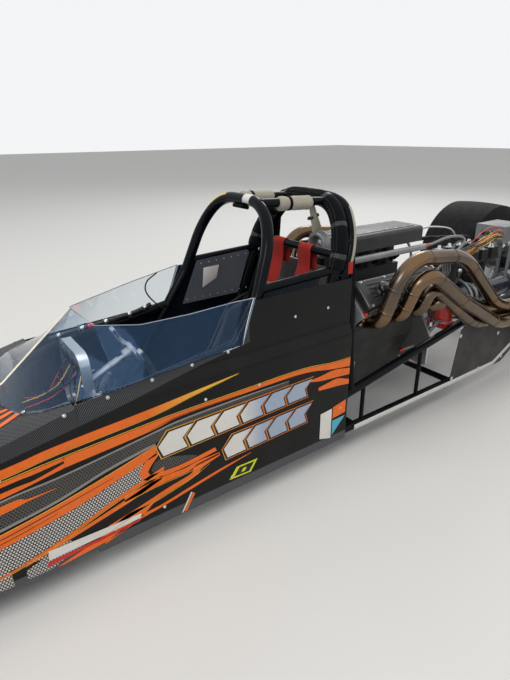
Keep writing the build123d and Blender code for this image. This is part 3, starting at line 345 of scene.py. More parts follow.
def paintedMetal(name, color, rough=0.22, coat=0.6, wear=0.35, dust=0.25, shine=0.35):
    # paint with orange peel, rubbed through to bare metal at the edges
    material, wire, into = newMaterial(name, Coat_Weight=coat, Coat_Roughness=0.06, Specular_IOR_Level=shine)
    place = wire.place()
    base = wire.mottle(place, 6, 4, 0.3, 0.7, 0.35, color, toned(color, 1.35, 0.004))
    worn = wire.group(edgeWear, Width=0.0012, Amount=wear)["Mask"]
    dustMask = dusted(wire, into, wire.mixColor(worn, base, bareColor), dust, 8.0)
    roughness = wire.ramp(wire.noise(place, 18, 5), 0.3, 0.75, rough * 0.75, rough * 1.5)
    wire.put(into["Roughness"], wire.math("ADD", roughness, wire.math("MULTIPLY", dustMask, 0.5), clamp=True))
    wire.put(into["Normal"], wire.bump(wire.noise(place, 210, 2), 0.02, 0.002))
    return material


def bareMetal(name, color, rough=0.3, grain=(1, 1, 1), dust=0.15, stain=0.3):
    # metal with fine lines along its grain and dull stains
    material, wire, into = newMaterial(name, Metallic=1.0)
    place = wire.place()
    lines = wire.noise(wire.stretch(place, grain), 90.0, 4, 0.7)
    dull = toned(color, 0.62)
    base = wire.mottle(place, 7, 6, 0.4, 0.75, stain, color, dull)
    base = wire.mixColor(wire.ramp(lines, 0.35, 0.7, 0.0, 0.16), base, dull)
    dustMask = dusted(wire, into, base, dust, 11.0)
    roughness = wire.ramp(lines, 0.3, 0.75, rough * 0.7, rough * 1.5)
    wire.put(into["Roughness"], wire.math("ADD", roughness, wire.math("MULTIPLY", dustMask, 0.4), clamp=True))
    wire.put(into["Normal"], wire.bump(lines, 0.05, 0.001))
    return material


def castMetal(name, color, rough=0.55, metallic=0.6, dust=0.35):
    # a pitted casting, bright along its edges
    material, wire, into = newMaterial(name, Metallic=metallic)
    place = wire.place()
    pits = wire.noise(place, 260, 3, 0.6)
    base = wire.mottle(place, 12, 6, 0.35, 0.7, 0.6, color, toned(color, 0.55))
    worn = wire.group(edgeWear, Width=0.0016, Amount=0.5)["Mask"]
    dusted(wire, into, wire.mixColor(worn, base, toned(color, 1.7, 0.05)), dust, 10.0)
    wire.put(into["Roughness"], wire.ramp(pits, 0.3, 0.7, rough * 0.85, rough * 1.2))
    wire.put(into["Normal"], wire.bump(pits, 0.35, 0.0012))
    return material


def wovenCloth(name, color, pitch=0.0016, sheen=0.3, shine=0.5):
    # crossed threads, faded in patches, with painted shade darkening the gaps between them
    material, wire, into = newMaterial(name, Sheen_Weight=sheen, Specular_IOR_Level=shine)
    place = wire.place()
    x, y, z = wire.split(place)[:3]
    diagonal = wire.math("ADD", wire.math("ADD", x, y), z)
    counter = wire.math("SUBTRACT", wire.math("SUBTRACT", z, x), y)
    warp, weft = (wire.math("PINGPONG", wire.math("DIVIDE", line, pitch), 1.0) for line in (diagonal, counter))
    height = wire.math("MULTIPLY", warp, weft)
    base = wire.mottle(place, 14, 5, 0.35, 0.7, 0.3, color, toned(color, 0.6))
    gapShade = wire.ramp(height, 0.0, 1.0, 0.25, 0.0)
    wire.put(into["Base Color"], wire.mixColor(gapShade, base, toned(color, 0.45)))
    wire.put(into["Roughness"], wire.ramp(height, 0.0, 1.0, 0.85, 0.7225))
    wire.put(into["Normal"], wire.bump(height, 0.4, 0.0006))
    return material


def mouldedPlastic(name, color, rough=0.4, grain=0.08):
    material, wire, into = newMaterial(name)
    place = wire.place()
    fine = wire.noise(place, 380, 2)
    base = wire.mottle(place, 9, 4, 0.35, 0.7, 0.3, color, toned(color, 0.75))
    dusted(wire, into, base, 0.25, 12.0)
    wire.put(into["Roughness"], wire.ramp(fine, 0.3, 0.7, rough * 0.85, rough * 1.2))
    wire.put(into["Normal"], wire.bump(fine, grain, 0.0006))
    return material


def glossyPlastic(name, color, rough=0.25, metallic=0.0, coat=0.3):
    material, wire, into = newMaterial(name, Coat_Weight=coat, Metallic=metallic)
    place = wire.place()
    wire.put(into["Base Color"], wire.mottle(place, 30, 4, 0.35, 0.7, 0.4, color, toned(color, 0.72)))
    wire.put(into["Roughness"], wire.ramp(wire.noise(place, 120, 3), 0.3, 0.7, rough * 0.8, rough * 1.3))
    return material


def ribbedHose(name, light, dark, rough=0.4, metallic=0.6):
    # crossed strands of a braid, set out in the directions across the hose; the low places between the strands take the
    # dark colour, a painted shade
    material, wire, into = newMaterial(name, Metallic=metallic)
    x, y, z = wire.split(wire.place())[:3]
    strands = [wire.math("PINGPONG", wire.math("DIVIDE", wire.math(way, wire.math(way, x, y), z), braidPitch), 1.0)
               for way in ("ADD", "SUBTRACT")]
    height = wire.math("MULTIPLY", *strands)
    wire.put(into["Base Color"], wire.mixColor(height, dark, light))
    wire.put(into["Roughness"], wire.ramp(height, 0.0, 1.0, rough * 1.3, rough * 0.8))
    wire.put(into["Normal"], wire.bump(height, 0.4, 0.0008))
    return material


# the shell's paint: gloss black, with bare carbon weave along the shoulder, on the cowl and at the lower edge; the
# weave's lighter tones at the lower edge are a painted reflection of the ground
shellSet = {"black": (0.006, 0.006, 0.0065), "blackWarm": (0.011, 0.010, 0.010), "carbonDark": (0.007, 0.0075, 0.009),
            "carbonLight": (0.075, 0.078, 0.085), "inside": (0.010, 0.017, 0.030), "sillReflection": (0.085, 0.09, 0.10),
            "lowEdge": 0.128, "shoulderAt": 0.663, "shoulderFall": -0.166, "from": 0.06, "tow": 0.0019, "middle": 0.34}


def makeShellPaint():
    material, wire, into = newMaterial("shellPaint", Coat_Weight=0.07, Coat_Roughness=0.03, Specular_IOR_Level=0.13)
    place = wire.place()
    x, y, z = wire.split(place)[:3]
    ahead = wire.math("SUBTRACT", x, hoopX)
    line = wire.math("MULTIPLY_ADD", ahead, shellSet["shoulderFall"], shellSet["shoulderAt"])
    inFront = wire.math("GREATER_THAN", ahead, shellSet["from"])
    shoulder = wire.math("MULTIPLY", wire.math("GREATER_THAN", z, line), inFront)
    low = wire.math("LESS_THAN", z, shellSet["lowEdge"])
    bare = wire.math("MAXIMUM", shoulder, low)
    weave = wire.group(carbonWeave, Tow=shellSet["tow"])
    cloth = wire.mixColor(weave["Shade"], shellSet["carbonDark"], shellSet["carbonLight"])
    # lower edge: lighter weave tones, a painted reflection of the ground
    cloth = wire.mixColor(low, cloth, wire.mixColor(weave["Shade"], shellSet["carbonLight"], shellSet["sillReflection"]))
    black = wire.mottle(place, 4, 3, 0.3, 0.7, 0.5, shellSet["black"], shellSet["blackWarm"])
    painted = wire.mixColor(bare, black, cloth)
    # faces that look at the middle of the car are the plain inner side, whose blue tint is a painted reflection of the
    # sky
    away = wire.add("ShaderNodeCombineXYZ")
    wire.link(y, away.inputs["Y"])
    wire.link(wire.math("SUBTRACT", z, shellSet["middle"]), away.inputs["Z"])
    facing = wire.add("ShaderNodeVectorMath", operation="DOT_PRODUCT")
    wire.link(away.outputs[0], facing.inputs[0])
    wire.link(wire.add("ShaderNodeNewGeometry").outputs["True Normal"], facing.inputs[1])
    inner = wire.math("LESS_THAN", facing.outputs["Value"], 0.0)
    dustMask = dusted(wire, into, wire.mixColor(inner, painted, shellSet["inside"]), 0.05, 7.0)
    rough = wire.ramp(wire.noise(place, 22, 5), 0.3, 0.75, 0.10, 0.22)
    rough = wire.math("ADD", rough, wire.math("MULTIPLY", dustMask, 0.5))
    wire.put(into["Roughness"], wire.math("MAXIMUM", rough, wire.math("MULTIPLY", inner, 0.6)))
    outside = wire.math("MULTIPLY", bare, wire.math("SUBTRACT", 1.0, inner))
    relief = wire.math("MULTIPLY", wire.math("MULTIPLY", weave["Height"], outside), 0.5)
    wire.put(into["Normal"], wire.bump(relief, 0.15, 0.0006))
    return material


def makeShieldClear():
    # clear polycarbonate with a few hazy scratches; the blue of its base colour and of its reflections is a painted
    # reflection of the sky
    material, wire, into = newMaterial("shieldClear", Transmission_Weight=1.0, IOR=1.45,
                                       Base_Color=(0.82, 0.89, 0.965), Specular_Tint=(0.30, 0.55, 1.0))
    scratch = wire.noise(wire.stretch(wire.place(), (1, 1, 6)), 60, 4, 0.7)
    wire.put(into["Roughness"], wire.ramp(scratch, 0.7, 0.9, 0.0, 0.015))
    return material


def makeTyreRubber():
    # scuffed and grained rubber
    material, wire, into = newMaterial("tyreRubber", Specular_IOR_Level=0.13)
    place = wire.place()
    grain = wire.noise(place, 420, 3, 0.6)
    base = wire.mottle(wire.stretch(place, (1, 6, 1)), 16, 6, 0.4, 0.75, 0.6, (0.0065, 0.007, 0.0085),
                       (0.013, 0.013, 0.014))
    dusted(wire, into, base, 0.12, 22.0)
    wire.put(into["Roughness"], wire.ramp(grain, 0.3, 0.7, 0.62, 0.85))
    wire.put(into["Normal"], wire.bump(grain, 0.25, 0.001))
    return material


pipeSet = {"steel": (0.135, 0.102, 0.075), "straw": (0.27, 0.16, 0.07), "dark": (0.045, 0.033, 0.026),
           "blue": (0.055, 0.052, 0.068)}


def makePipeBronze():
    # heat tint: dark bronze near the ports, cooler steel along the runs
    material, wire, into = newMaterial("pipeBronze", Metallic=1.0)
    place = wire.place()
    x, y, _ = wire.split(place)[:3]
    far = wire.ramp(wire.math("ABSOLUTE", y), 0.26, 0.37)
    patch = wire.noise(place, 6, 5)
    base = wire.mixColor(far, pipeSet["dark"], pipeSet["steel"])
    base = wire.mixColor(wire.ramp(x, -1.45, -1.85, 0.0, 0.75), base, pipeSet["straw"])
    base = wire.mixColor(wire.ramp(patch, 0.45, 0.7, 0.0, 0.6), base, pipeSet["straw"])
    base = wire.mixColor(wire.ramp(patch, 0.25, 0.4, 0.5, 0.0), base, pipeSet["blue"])
    wire.put(into["Base Color"], base)
    fine = wire.noise(place, 130, 4)
    wire.put(into["Roughness"], wire.ramp(fine, 0.3, 0.7, 0.17, 0.27))
    wire.put(into["Normal"], wire.bump(fine, 0.02, 0.001))
    return material


def sheetPaint(name, color, flake=0.0, fade=None):
    # a painted sheet; a fade gives the other colour and the places where it begins and ends
    material, wire, into = newMaterial(name, Coat_Weight=0.15, Coat_Roughness=0.05, Specular_IOR_Level=0.2)
    place = wire.place()
    base = wire.mottle(place, 9, 4, 0.3, 0.7, 0.5, color, toned(color, 0.86))
    if fade:
        other, begin, end = fade
        ahead = wire.math("SUBTRACT", wire.split(place)[0], hoopX)
        base = wire.mixColor(wire.ramp(ahead, begin, end), base, other)
    if flake:
        sparkle = wire.ramp(wire.noise(place, 900, 1), 0.6, 0.75)
        base = wire.mixColor(wire.math("MULTIPLY", sparkle, flake), base, toned(color, 1.5, 0.1))
    dustMask = dusted(wire, into, base, 0.12, 7.0)
    roughness = wire.ramp(wire.noise(place, 24, 5), 0.3, 0.75, 0.22, 0.36)
    wire.put(into["Roughness"], wire.math("ADD", roughness, wire.math("MULTIPLY", dustMask, 0.4)))
    wire.put(into["Normal"], wire.bump(wire.noise(place, 160, 2), 0.015, 0.001))
    return material


def meshPaint(name, ground, dot, softness):
    # printed mesh: rows of round dots over a plain ground, the dots lightened in broad patches as far as the softness
    # allows
    material, wire, into = newMaterial(name, Coat_Weight=0.12, Coat_Roughness=0.06, Specular_IOR_Level=0.2)
    place = wire.place()
    tone = wire.ramp(wire.noise(place, 5, 4), 0.3, 0.7, 0.75, 1.0)
    lit = wire.mixColor(wire.math("MULTIPLY", tone, softness), dot, toned(dot, 1.5, 0.02))
    dots = wire.group(dotMesh, Pitch=dotSet["pitch"], Radius=dotSet["radius"])["Mask"]
    dusted(wire, into, wire.mixColor(dots, ground, lit), 0.14, 7.0)
    wire.put(into["Roughness"], wire.ramp(wire.noise(place, 24, 5), 0.3, 0.75, 0.22, 0.38))
    return material


# colours of the finishes
bareColor, braidPitch = (0.30, 0.30, 0.31), 0.0024
dotSet = {"pitch": 0.0093, "radius": 0.33}
orange, yellow, white = (0.86, 0.155, 0.012), (0.86, 0.48, 0.05), (0.76, 0.75, 0.70)
glossy = {
    # colour, roughness, metal, coat
    "edgeHighlight": ((0.34, 0.40, 0.47), 0.18, 0.0, 0.4), "foldHighlightCream": ((0.80, 0.76, 0.62), 0.3),
    "blackGloss": ((0.012, 0.012, 0.013), 0.2, 0.0, 0.6), "dialWhite": ((0.70, 0.70, 0.68), 0.4),
    "redPlastic": ((0.62, 0.03, 0.02),), "bluePlastic": ((0.03, 0.12, 0.48),), "yellowPlastic": ((0.75, 0.48, 0.04),),
    "wireBlack": ((0.016, 0.016, 0.017), 0.45, 0.0, 0.0), "redAnodised": ((0.60, 0.03, 0.025), 0.22, 0.6),
    "blueAnodised": ((0.03, 0.08, 0.42), 0.22, 0.6),
}
paints = {
    "paintGrey": (0.26, 0.26, 0.25), "paintYellow": yellow, "paintLemon": (0.70, 0.74, 0.02), "paintWhite": white,
    "paintBlackLine": (0.008, 0.008, 0.008), "paintRed": (0.62, 0.025, 0.02), "paintSky": (0.10, 0.45, 0.62),
}
finishes = {
    "shell": makeShellPaint(),
    "shield": makeShieldClear(),
    "tube": paintedMetal("tubeBlack", (0.0022, 0.0032, 0.0052), rough=0.12, coat=0.05, wear=0.0, dust=0.01, shine=0.08),
    "bayBlack": paintedMetal("bayBlack", (0.009, 0.009, 0.010), rough=0.34, coat=0.1, wear=0.3, dust=0.2, shine=0.2),
    "greyPanel": paintedMetal("linerGrey", (0.085, 0.10, 0.12), rough=0.35, coat=0.25, wear=0.2, dust=0.15),
    "rubber": makeTyreRubber(),
    "pipe": makePipeBronze(),
    "sheet": bareMetal("sheetAluminium", (0.62, 0.63, 0.64), rough=0.34, grain=(1, 8, 1)),
    "spun": bareMetal("spunAluminium", (0.72, 0.73, 0.74), rough=0.20, grain=(6, 1, 6), dust=0.25),
    "steel": bareMetal("machinedSteel", (0.42, 0.42, 0.43), rough=0.32),
    "zinc": bareMetal("zincSteel", (0.66, 0.66, 0.65), rough=0.28, stain=0.2),
    "castAlloy": castMetal("castAlloy", (0.44, 0.45, 0.46)),
    "castDark": castMetal("castDark", (0.045, 0.047, 0.052), rough=0.42, metallic=0.4),
    "bellBlue": paintedMetal("bellBlue", (0.006, 0.010, 0.022), rough=0.2, coat=0.3, wear=0.3, dust=0.2),
    "gearbox": castMetal("gearboxAlloy", (0.20, 0.21, 0.22), dust=0.5),
    "iron": castMetal("blockBlack", (0.018, 0.018, 0.019), rough=0.5, metallic=0.2),
    "cover": paintedMetal("coverBlack", (0.015, 0.015, 0.016), rough=0.3, coat=0.4, wear=0.4),
    "filter": paintedMetal("filterRed", (0.52, 0.035, 0.025), rough=0.25, coat=0.4, wear=0.2),
    "coil": mouldedPlastic("coilBlack", (0.014, 0.014, 0.015), rough=0.42),
    "box": mouldedPlastic("boxGrey", (0.20, 0.21, 0.22), rough=0.35),
    "leather": mouldedPlastic("seatCover", (0.012, 0.012, 0.013), rough=0.55, grain=0.3),
    "sleeve": wovenCloth("sleeveBeige", (0.40, 0.372, 0.30)),
    "padBlack": wovenCloth("padBlack", (0.0030, 0.0036, 0.0050), pitch=0.0014, sheen=0.01, shine=0.12),
    "web": wovenCloth("webRed", (0.42, 0.016, 0.008), pitch=0.0012, sheen=0.05),
    "thread": wovenCloth("threadPale", (0.42, 0.40, 0.36), pitch=0.0008),
    "threadRed": wovenCloth("threadRed", (0.40, 0.03, 0.015), pitch=0.0008),
    "braid": ribbedHose("braidedHose", (0.55, 0.56, 0.58), (0.10, 0.10, 0.11)),
    "braidBlack": ribbedHose("braidedBlack", (0.05, 0.05, 0.055), (0.008, 0.008, 0.009), rough=0.6, metallic=0.0),
    "paintOrange": sheetPaint("paintOrange", orange, flake=0.12),
    "paintOrangeFade": sheetPaint("paintOrangeFade", orange, flake=0.12, fade=(yellow, 0.46, 0.24)),
    "paintOrangeEdge": sheetPaint("paintOrangeEdge", (0.80, 0.20, 0.015), fade=((0.80, 0.42, 0.05), 0.0, 0.42)),
    # white blocks that turn blue-grey towards the rear: the blue-grey is a painted shadow
    "paintBlock": sheetPaint("paintBlock", white, fade=((0.36, 0.43, 0.55), 0.12, 0.02)),
    "paintDarkMesh": meshPaint("paintDarkMesh", (0.085, 0.083, 0.078), (0.007, 0.007, 0.008), 0.0),
    "paintLightMesh": meshPaint("paintLightMesh", (0.010, 0.010, 0.011), (0.46, 0.45, 0.43), 1.0),
}
finishes.update({name: glossyPlastic(name, *look) for name, look in glossy.items()})
finishes.update({name: sheetPaint(name, color) for name, color in paints.items()})
nodeFinish = {
    "shell": ["front_body", "nose_cone", "body_left", "body_right"],
    "shield": ["windshield"],
    "tube": ["frame_left", "frame_right", "crossmembers", "front_hoop", "main_hoop", "cage_bars", "rear_bar",
             "front_axle"],
    "bayBlack": ["bay_panels"],
    "greyPanel": ["side_liners"],
    "rubber": ["rear_slicks", "left_front_tyre", "right_front_tyre"],
    "pipe": ["headers"],
    "sheet": ["belly_pan", "firewall", "dash_hoop", "motor_plates", "pedals"],
    "spun": ["rear_rims", "left_front_rim", "right_front_rim"],
    "steel": ["steering_wheel", "steering_column", "rear_axle", "left_knuckle", "right_knuckle", "tie_rod"],
    "castAlloy": ["cylinder_heads"],
    "castDark": ["intake"],
    "bellBlue": ["transmission"],
    "gearbox": ["rear_housing"],
    "iron": ["engine_block"],
    "cover": ["valve_covers"],
    "filter": ["oil_filter"],
    "coil": ["coil_rack"],
    "box": ["control_box"],
    "leather": ["seat"],
    "sleeve": ["roof_pads"],
    "padBlack": ["hoop_pads"],
    "web": ["harness"],
}


def dressNodes():
    for finish, names in nodeFinish.items():
        for name in names:
            node = nodes[name]
            if not node.material_slots:
                node.data.materials.append(finishes[finish])
            for slot in node.material_slots:
                slot.material = finishes[finish]
    nodes["windshield"].visible_shadow = False


dressNodes()
print("frame dressed")


def addPiece(name, mesh, finish, body="chassis", smooth=True):
    # mesh may be a list of meshes that become one
    if isinstance(mesh, list):
        mesh = joinMeshes(mesh)
    mesh.name = name
    piece = bpy.data.objects.new(name, mesh)
    scene.collection.objects.link(piece)
    mesh.materials.clear()
    mesh.materials.append(finishes[finish])
    if smooth:
        mesh.shade_smooth()
    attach(piece, body)
    return piece


def outward(mesh):
    shape = bmesh.new()
    shape.from_mesh(mesh)
    bmesh.ops.recalc_face_normals(shape, faces=shape.faces)
    shape.to_mesh(mesh)
    shape.free()
    return mesh


def meshFrom(points, faces):
    mesh = bpy.data.meshes.new("part")
    mesh.from_pydata([tuple(point) for point in points], [], faces)
    mesh.update()
    return mesh


def joinMeshes(meshes):
    shape = bmesh.new()
    for mesh in meshes:
        shape.from_mesh(mesh)
        bpy.data.meshes.remove(mesh)
    joined = bpy.data.meshes.new("joined")
    shape.to_mesh(joined)
    shape.free()
    return joined


curveSteps, bendSteps = 16, 12


def smoothLine(points, count, closed=False):
    # a curve through the points, divided evenly along its length
    points = [Vector(point) for point in points]
    ends = points if closed else [points[0] * 2 - points[1]] + points + [points[-1] * 2 - points[-2]]
    fine = []
    spans = len(points) if closed else len(points) - 1
    for span in range(spans):
        if closed:
            a, b, c, d = (ends[(span + shift) % len(ends)] for shift in (-1, 0, 1, 2))
        else:
            a, b, c, d = ends[span:span + 4]
        for step in range(curveSteps):
            t = step / curveSteps
            fine.append(0.5 * ((2 * b) + (c - a) * t + (2 * a - 5 * b + 4 * c - d) * t * t
                               + (3 * b - a - 3 * c + d) * t ** 3))
    fine.append(fine[0].copy() if closed else points[-1])
    return evenly(fine, count, closed)


def evenly(fine, count, closed=False):
    # the path again, in points that lie evenly along it
    lengths = [0.0]
    for before, after in zip(fine, fine[1:]):
        lengths.append(lengths[-1] + (after - before).length)
    spaced = []
    index = 0
    total = count if closed else count - 1
    for step in range(count):
        goal = lengths[-1] * step / total
        while index < len(lengths) - 2 and lengths[index + 1] < goal:
            index += 1
        gap = lengths[index + 1] - lengths[index]
        share = (goal - lengths[index]) / gap if gap else 0
        spaced.append(fine[index].lerp(fine[index + 1], share))
    return spaced


def roundedPath(corners, radii, count):
    # straight runs with round bends of the given radii
    corners = [Vector(corner) for corner in corners]
    fine = [corners[0]]
    for before, corner, after, radius in zip(corners, corners[1:], corners[2:], radii):
        back, ahead = (before - corner).normalized(), (after - corner).normalized()
        half = back.angle(ahead) / 2
        centre = corner + (back + ahead).normalized() * (radius / math.sin(half))
        first = corner + back * (radius / math.tan(half)) - centre
        last = corner + ahead * (radius / math.tan(half)) - centre
        turn = math.pi - 2 * half
        for number in range(bendSteps + 1):
            share = number / bendSteps
            swing = first * math.sin((1 - share) * turn) + last * math.sin(share * turn)
            fine.append(centre + swing / math.sin(turn))
    fine.append(corners[-1])
    return evenly(fine, count)


def pathFrames(path, closed=False, upward=zAxis):
    # the directions across and up at each point of a path
    count = len(path)
    normal = None
    frames = []
    for index, point in enumerate(path):
        if closed:
            ahead = path[(index + 1) % count] - path[index - 1]
        else:
            ahead = path[min(index + 1, count - 1)] - path[max(index - 1, 0)]
        ahead.normalize()
        start = upward if normal is None else normal
        normal = (start - ahead * start.dot(ahead)).normalized()
        frames.append((point, ahead, ahead.cross(normal), normal))
    return frames


def sweepMesh(path, section, closed=False, upward=zAxis, scale=None):
    # a section of (across, up) points carried along a path of points
    rings = []
    for index, (point, _, across, normal) in enumerate(pathFrames(path, closed, upward)):
        size = scale[index] if scale else 1.0
        rings.append([point + across * u * size + normal * v * size for u, v in section])
    return ringMesh(rings, closed)


def ringMesh(rings, closed=False):
    # a skin over rings of corners, closed at its ends or joined end to end
    count, around = len(rings), len(rings[0])
    points = [corner for ring in rings for corner in ring]
    faces = []
    for index in range(count if closed else count - 1):
        start, after = index * around, ((index + 1) % count) * around
        for k in range(around):
            turn = (k + 1) % around
            faces.append((start + k, start + turn, after + turn, after + k))
    if not closed:
        faces.append(tuple(range(around))[::-1])
        faces.append(tuple(range((count - 1) * around, count * around)))
    return outward(meshFrom(points, faces))


def roundSection(radius, count):
    return [(radius * math.cos(circle * k / count), radius * math.sin(circle * k / count)) for k in range(count)]


def flatSection(width, thick, bevel):
    w, t = width / 2, thick / 2
    return [(-w, -t + bevel), (-w + bevel, -t), (w - bevel, -t), (w, -t + bevel),
            (w, t - bevel), (w - bevel, t), (-w + bevel, t), (-w, t - bevel)]


def tubeAlong(points, radius, count, around=12):
    return sweepMesh(smoothLine(points, count), roundSection(radius, around))


def solidSheet(mesh, thick):
    # gives a sheet its thickness, outwards, and closes it
    carrier = bpy.data.objects.new("sheetCarrier", mesh)
    scene.collection.objects.link(carrier)
    wall = carrier.modifiers.new("wall", "SOLIDIFY")
    wall.thickness = thick
    wall.offset = 1.0
    wall.use_rim = True
    result = finished(carrier)
    bpy.data.objects.remove(carrier)
    return result


def finished(carrier):
    return bpy.data.meshes.new_from_object(carrier.evaluated_get(bpy.context.evaluated_depsgraph_get()))


def latheMesh(profile, around):
    # a profile of (radius, height) points turned about the z axis; radius 0 closes an end
    points, faces, rings = [], [], []
    for radius, height in profile:
        count = around if radius else 1
        rings.append(list(range(len(points), len(points) + count)))
        points += [(x, y, height) for x, y in roundSection(radius, around)[:count]]
    for low, high in zip(rings, rings[1:]):
        for k in range(around):
            after = (k + 1) % around
            corners = (low[k % len(low)], low[after % len(low)], high[after % len(high)], high[k % len(high)])
            face = tuple(dict.fromkeys(corners))
            if len(face) > 2:
                faces.append(face)
    return outward(meshFrom(points, faces))


def slabMesh(outline, thick, bevel=0.0):
    # a flat plate of an outline in x and y, its edges rounded
    count = len(outline)
    points = [(x, y, 0) for x, y in outline] + [(x, y, thick) for x, y in outline]
    faces = [tuple(range(count))[::-1], tuple(range(count, 2 * count))]
    faces += [(k, (k + 1) % count, count + (k + 1) % count, count + k) for k in range(count)]
    mesh = outward(meshFrom(points, faces))
    if bevel:
        shape = bmesh.new()
        shape.from_mesh(mesh)
        bmesh.ops.bevel(shape, geom=shape.edges[:], offset=bevel, segments=2, affect="EDGES", profile=0.5)
        shape.to_mesh(mesh)
        shape.free()
    return mesh


def roundedBox(width, depth, corner, steps=4):
    # the outline of a rectangle with round corners
    outline = []
    for turn, (sx, sy) in enumerate(((1, 1), (-1, 1), (-1, -1), (1, -1))):
        for step in range(steps + 1):
            angle = math.pi / 2 * (turn + step / steps)
            outline.append((sx * (width / 2 - corner) + corner * math.cos(angle),
                            sy * (depth / 2 - corner) + corner * math.sin(angle)))
    return outline


def aimed(place, facing, along):
    # stands a shape at a place with its z axis along facing and its x axis along the second direction
    up = Vector(facing).normalized()
    side = Vector(along) if along else up.orthogonal()
    side = (side - up * side.dot(up)).normalized()
    return Matrix.Translation(place) @ Matrix((side, up.cross(side), up)).transposed().to_4x4()


def placed(mesh, matrix):
    mesh.transform(matrix)
    return mesh


def stood(mesh, place, facing, along=None):
    return placed(mesh, aimed(place, facing, along))


def surfaceOf(*names):
    # the CAD surface of the named nodes, for setting things down on it
    points, faces = [], []
    for name in names:
        mesh = nodes[name].data
        start = len(points)
        points += [vertex.co.copy() for vertex in mesh.vertices]
        faces += [tuple(start + corner for corner in face.vertices) for face in mesh.polygons]
    return BVHTree.FromPolygons(points, faces)


def touch(surface, start, direction):
    place, normal, _, _ = surface.ray_cast(Vector(start), Vector(direction).normalized())
    if place is None:
        place, normal, _, _ = surface.find_nearest(Vector(start))
    if normal.dot(direction) > 0:
        normal = -normal
    return place, normal


def buildSetter():
    # Geometry Nodes: a small shape on every point, turned to the point's own two directions
    tree = bpy.data.node_groups.new("setOnPoints", "GeometryNodeTree")
    for label, kind in (("Geometry", "NodeSocketGeometry"), ("Shape", "NodeSocketObject"),
                        ("Size", "NodeSocketFloat"), ("Finish", "NodeSocketMaterial")):
        tree.interface.new_socket(name=label, in_out="INPUT", socket_type=kind)
    tree.interface.new_socket(name="Geometry", in_out="OUTPUT", socket_type="NodeSocketGeometry")
    wire = Wiring(tree)
    given = wire.add("NodeGroupInput").outputs
    info = wire.add("GeometryNodeObjectInfo")
    wire.link(given["Shape"], info.inputs["Object"])
    turned = None
    for axis, label, pivot in (("Z", "facing", "AUTO"), ("X", "along", "Z")):
        read = wire.add("GeometryNodeInputNamedAttribute", data_type="FLOAT_VECTOR")
        read.inputs["Name"].default_value = label
        turn = wire.add("FunctionNodeAlignRotationToVector", axis=axis, pivot_axis=pivot)
        wire.link(read.outputs["Attribute"], turn.inputs["Vector"])
        if turned:
            wire.link(turned, turn.inputs["Rotation"])
        turned = turn.outputs["Rotation"]
    spread = wire.add("GeometryNodeInstanceOnPoints")
    wire.link(given["Geometry"], spread.inputs["Points"])
    wire.link(info.outputs["Geometry"], spread.inputs["Instance"])
    wire.link(turned, spread.inputs["Rotation"])
    wire.link(given["Size"], spread.inputs["Scale"])
    real = wire.add("GeometryNodeRealizeInstances")
    wire.link(spread.outputs["Instances"], real.inputs["Geometry"])
    paint = wire.add("GeometryNodeSetMaterial")
    wire.link(real.outputs["Geometry"], paint.inputs["Geometry"])
    wire.link(given["Finish"], paint.inputs["Material"])
    wire.link(paint.outputs["Geometry"], wire.add("NodeGroupOutput").inputs["Geometry"])
    return tree


setter = buildSetter()


def setOnPoints(name, spots, shape, finish, body="chassis", size=1.0, smooth=False):
    # spots are (place, facing, along), with x for the direction along where none is given
    spots = [spot if len(spot) == 3 else (*spot, xAxis) for spot in spots]
    mesh = meshFrom([spot[0] for spot in spots], [])
    for label, index in (("facing", 1), ("along", 2)):
        layer = mesh.attributes.new(label, "FLOAT_VECTOR", "POINT")
        for item, spot in zip(layer.data, spots):
            item.vector = spot[index]
    carrier = bpy.data.objects.new("carrier", mesh)
    model = bpy.data.objects.new("model", shape)
    for thing in (carrier, model):
        scene.collection.objects.link(thing)
    modifier = carrier.modifiers.new("set", "NODES")
    modifier.node_group = setter
    values = {"Shape": model, "Size": size, "Finish": finishes[finish]}
    for item in setter.interface.items_tree:
        if item.in_out == "INPUT" and item.name in values:
            modifier[item.identifier] = values[item.name]
    result = finished(carrier)
    carrier.modifiers.remove(modifier)
    for thing in (carrier, model):
        bpy.data.objects.remove(thing)
    return addPiece(name, result, finish, body, smooth)


def screwHead(radius, high):
    # a domed head with a round socket
    return latheMesh([(radius, -0.0004), (radius, high * 0.3), (radius * 0.8, high * 0.8), (radius * 0.48, high),
                      (radius * 0.42, high * 0.45), (0, high * 0.4)], 10)


def hexHead(radius, high):
    # a bolt's six-sided head on its washer
    washer = latheMesh([(radius * 1.35, -0.0004), (radius * 1.35, high * 0.22), (radius, high * 0.24)], 18)
    head = latheMesh([(radius, high * 0.2), (radius, high * 0.85), (radius * 0.85, high), (0, high)], 6)
    return joinMeshes([washer, head])


def stitchShape(length=0.0032, radius=0.00042):
    # one stitch of thread lying along x
    mesh = latheMesh([(0, -length / 2), (radius, -length * 0.36), (radius, length * 0.36), (0, length / 2)], 6)
    return placed(mesh, Matrix.Rotation(math.pi / 2, 4, "Y"))


puffFrames = 20


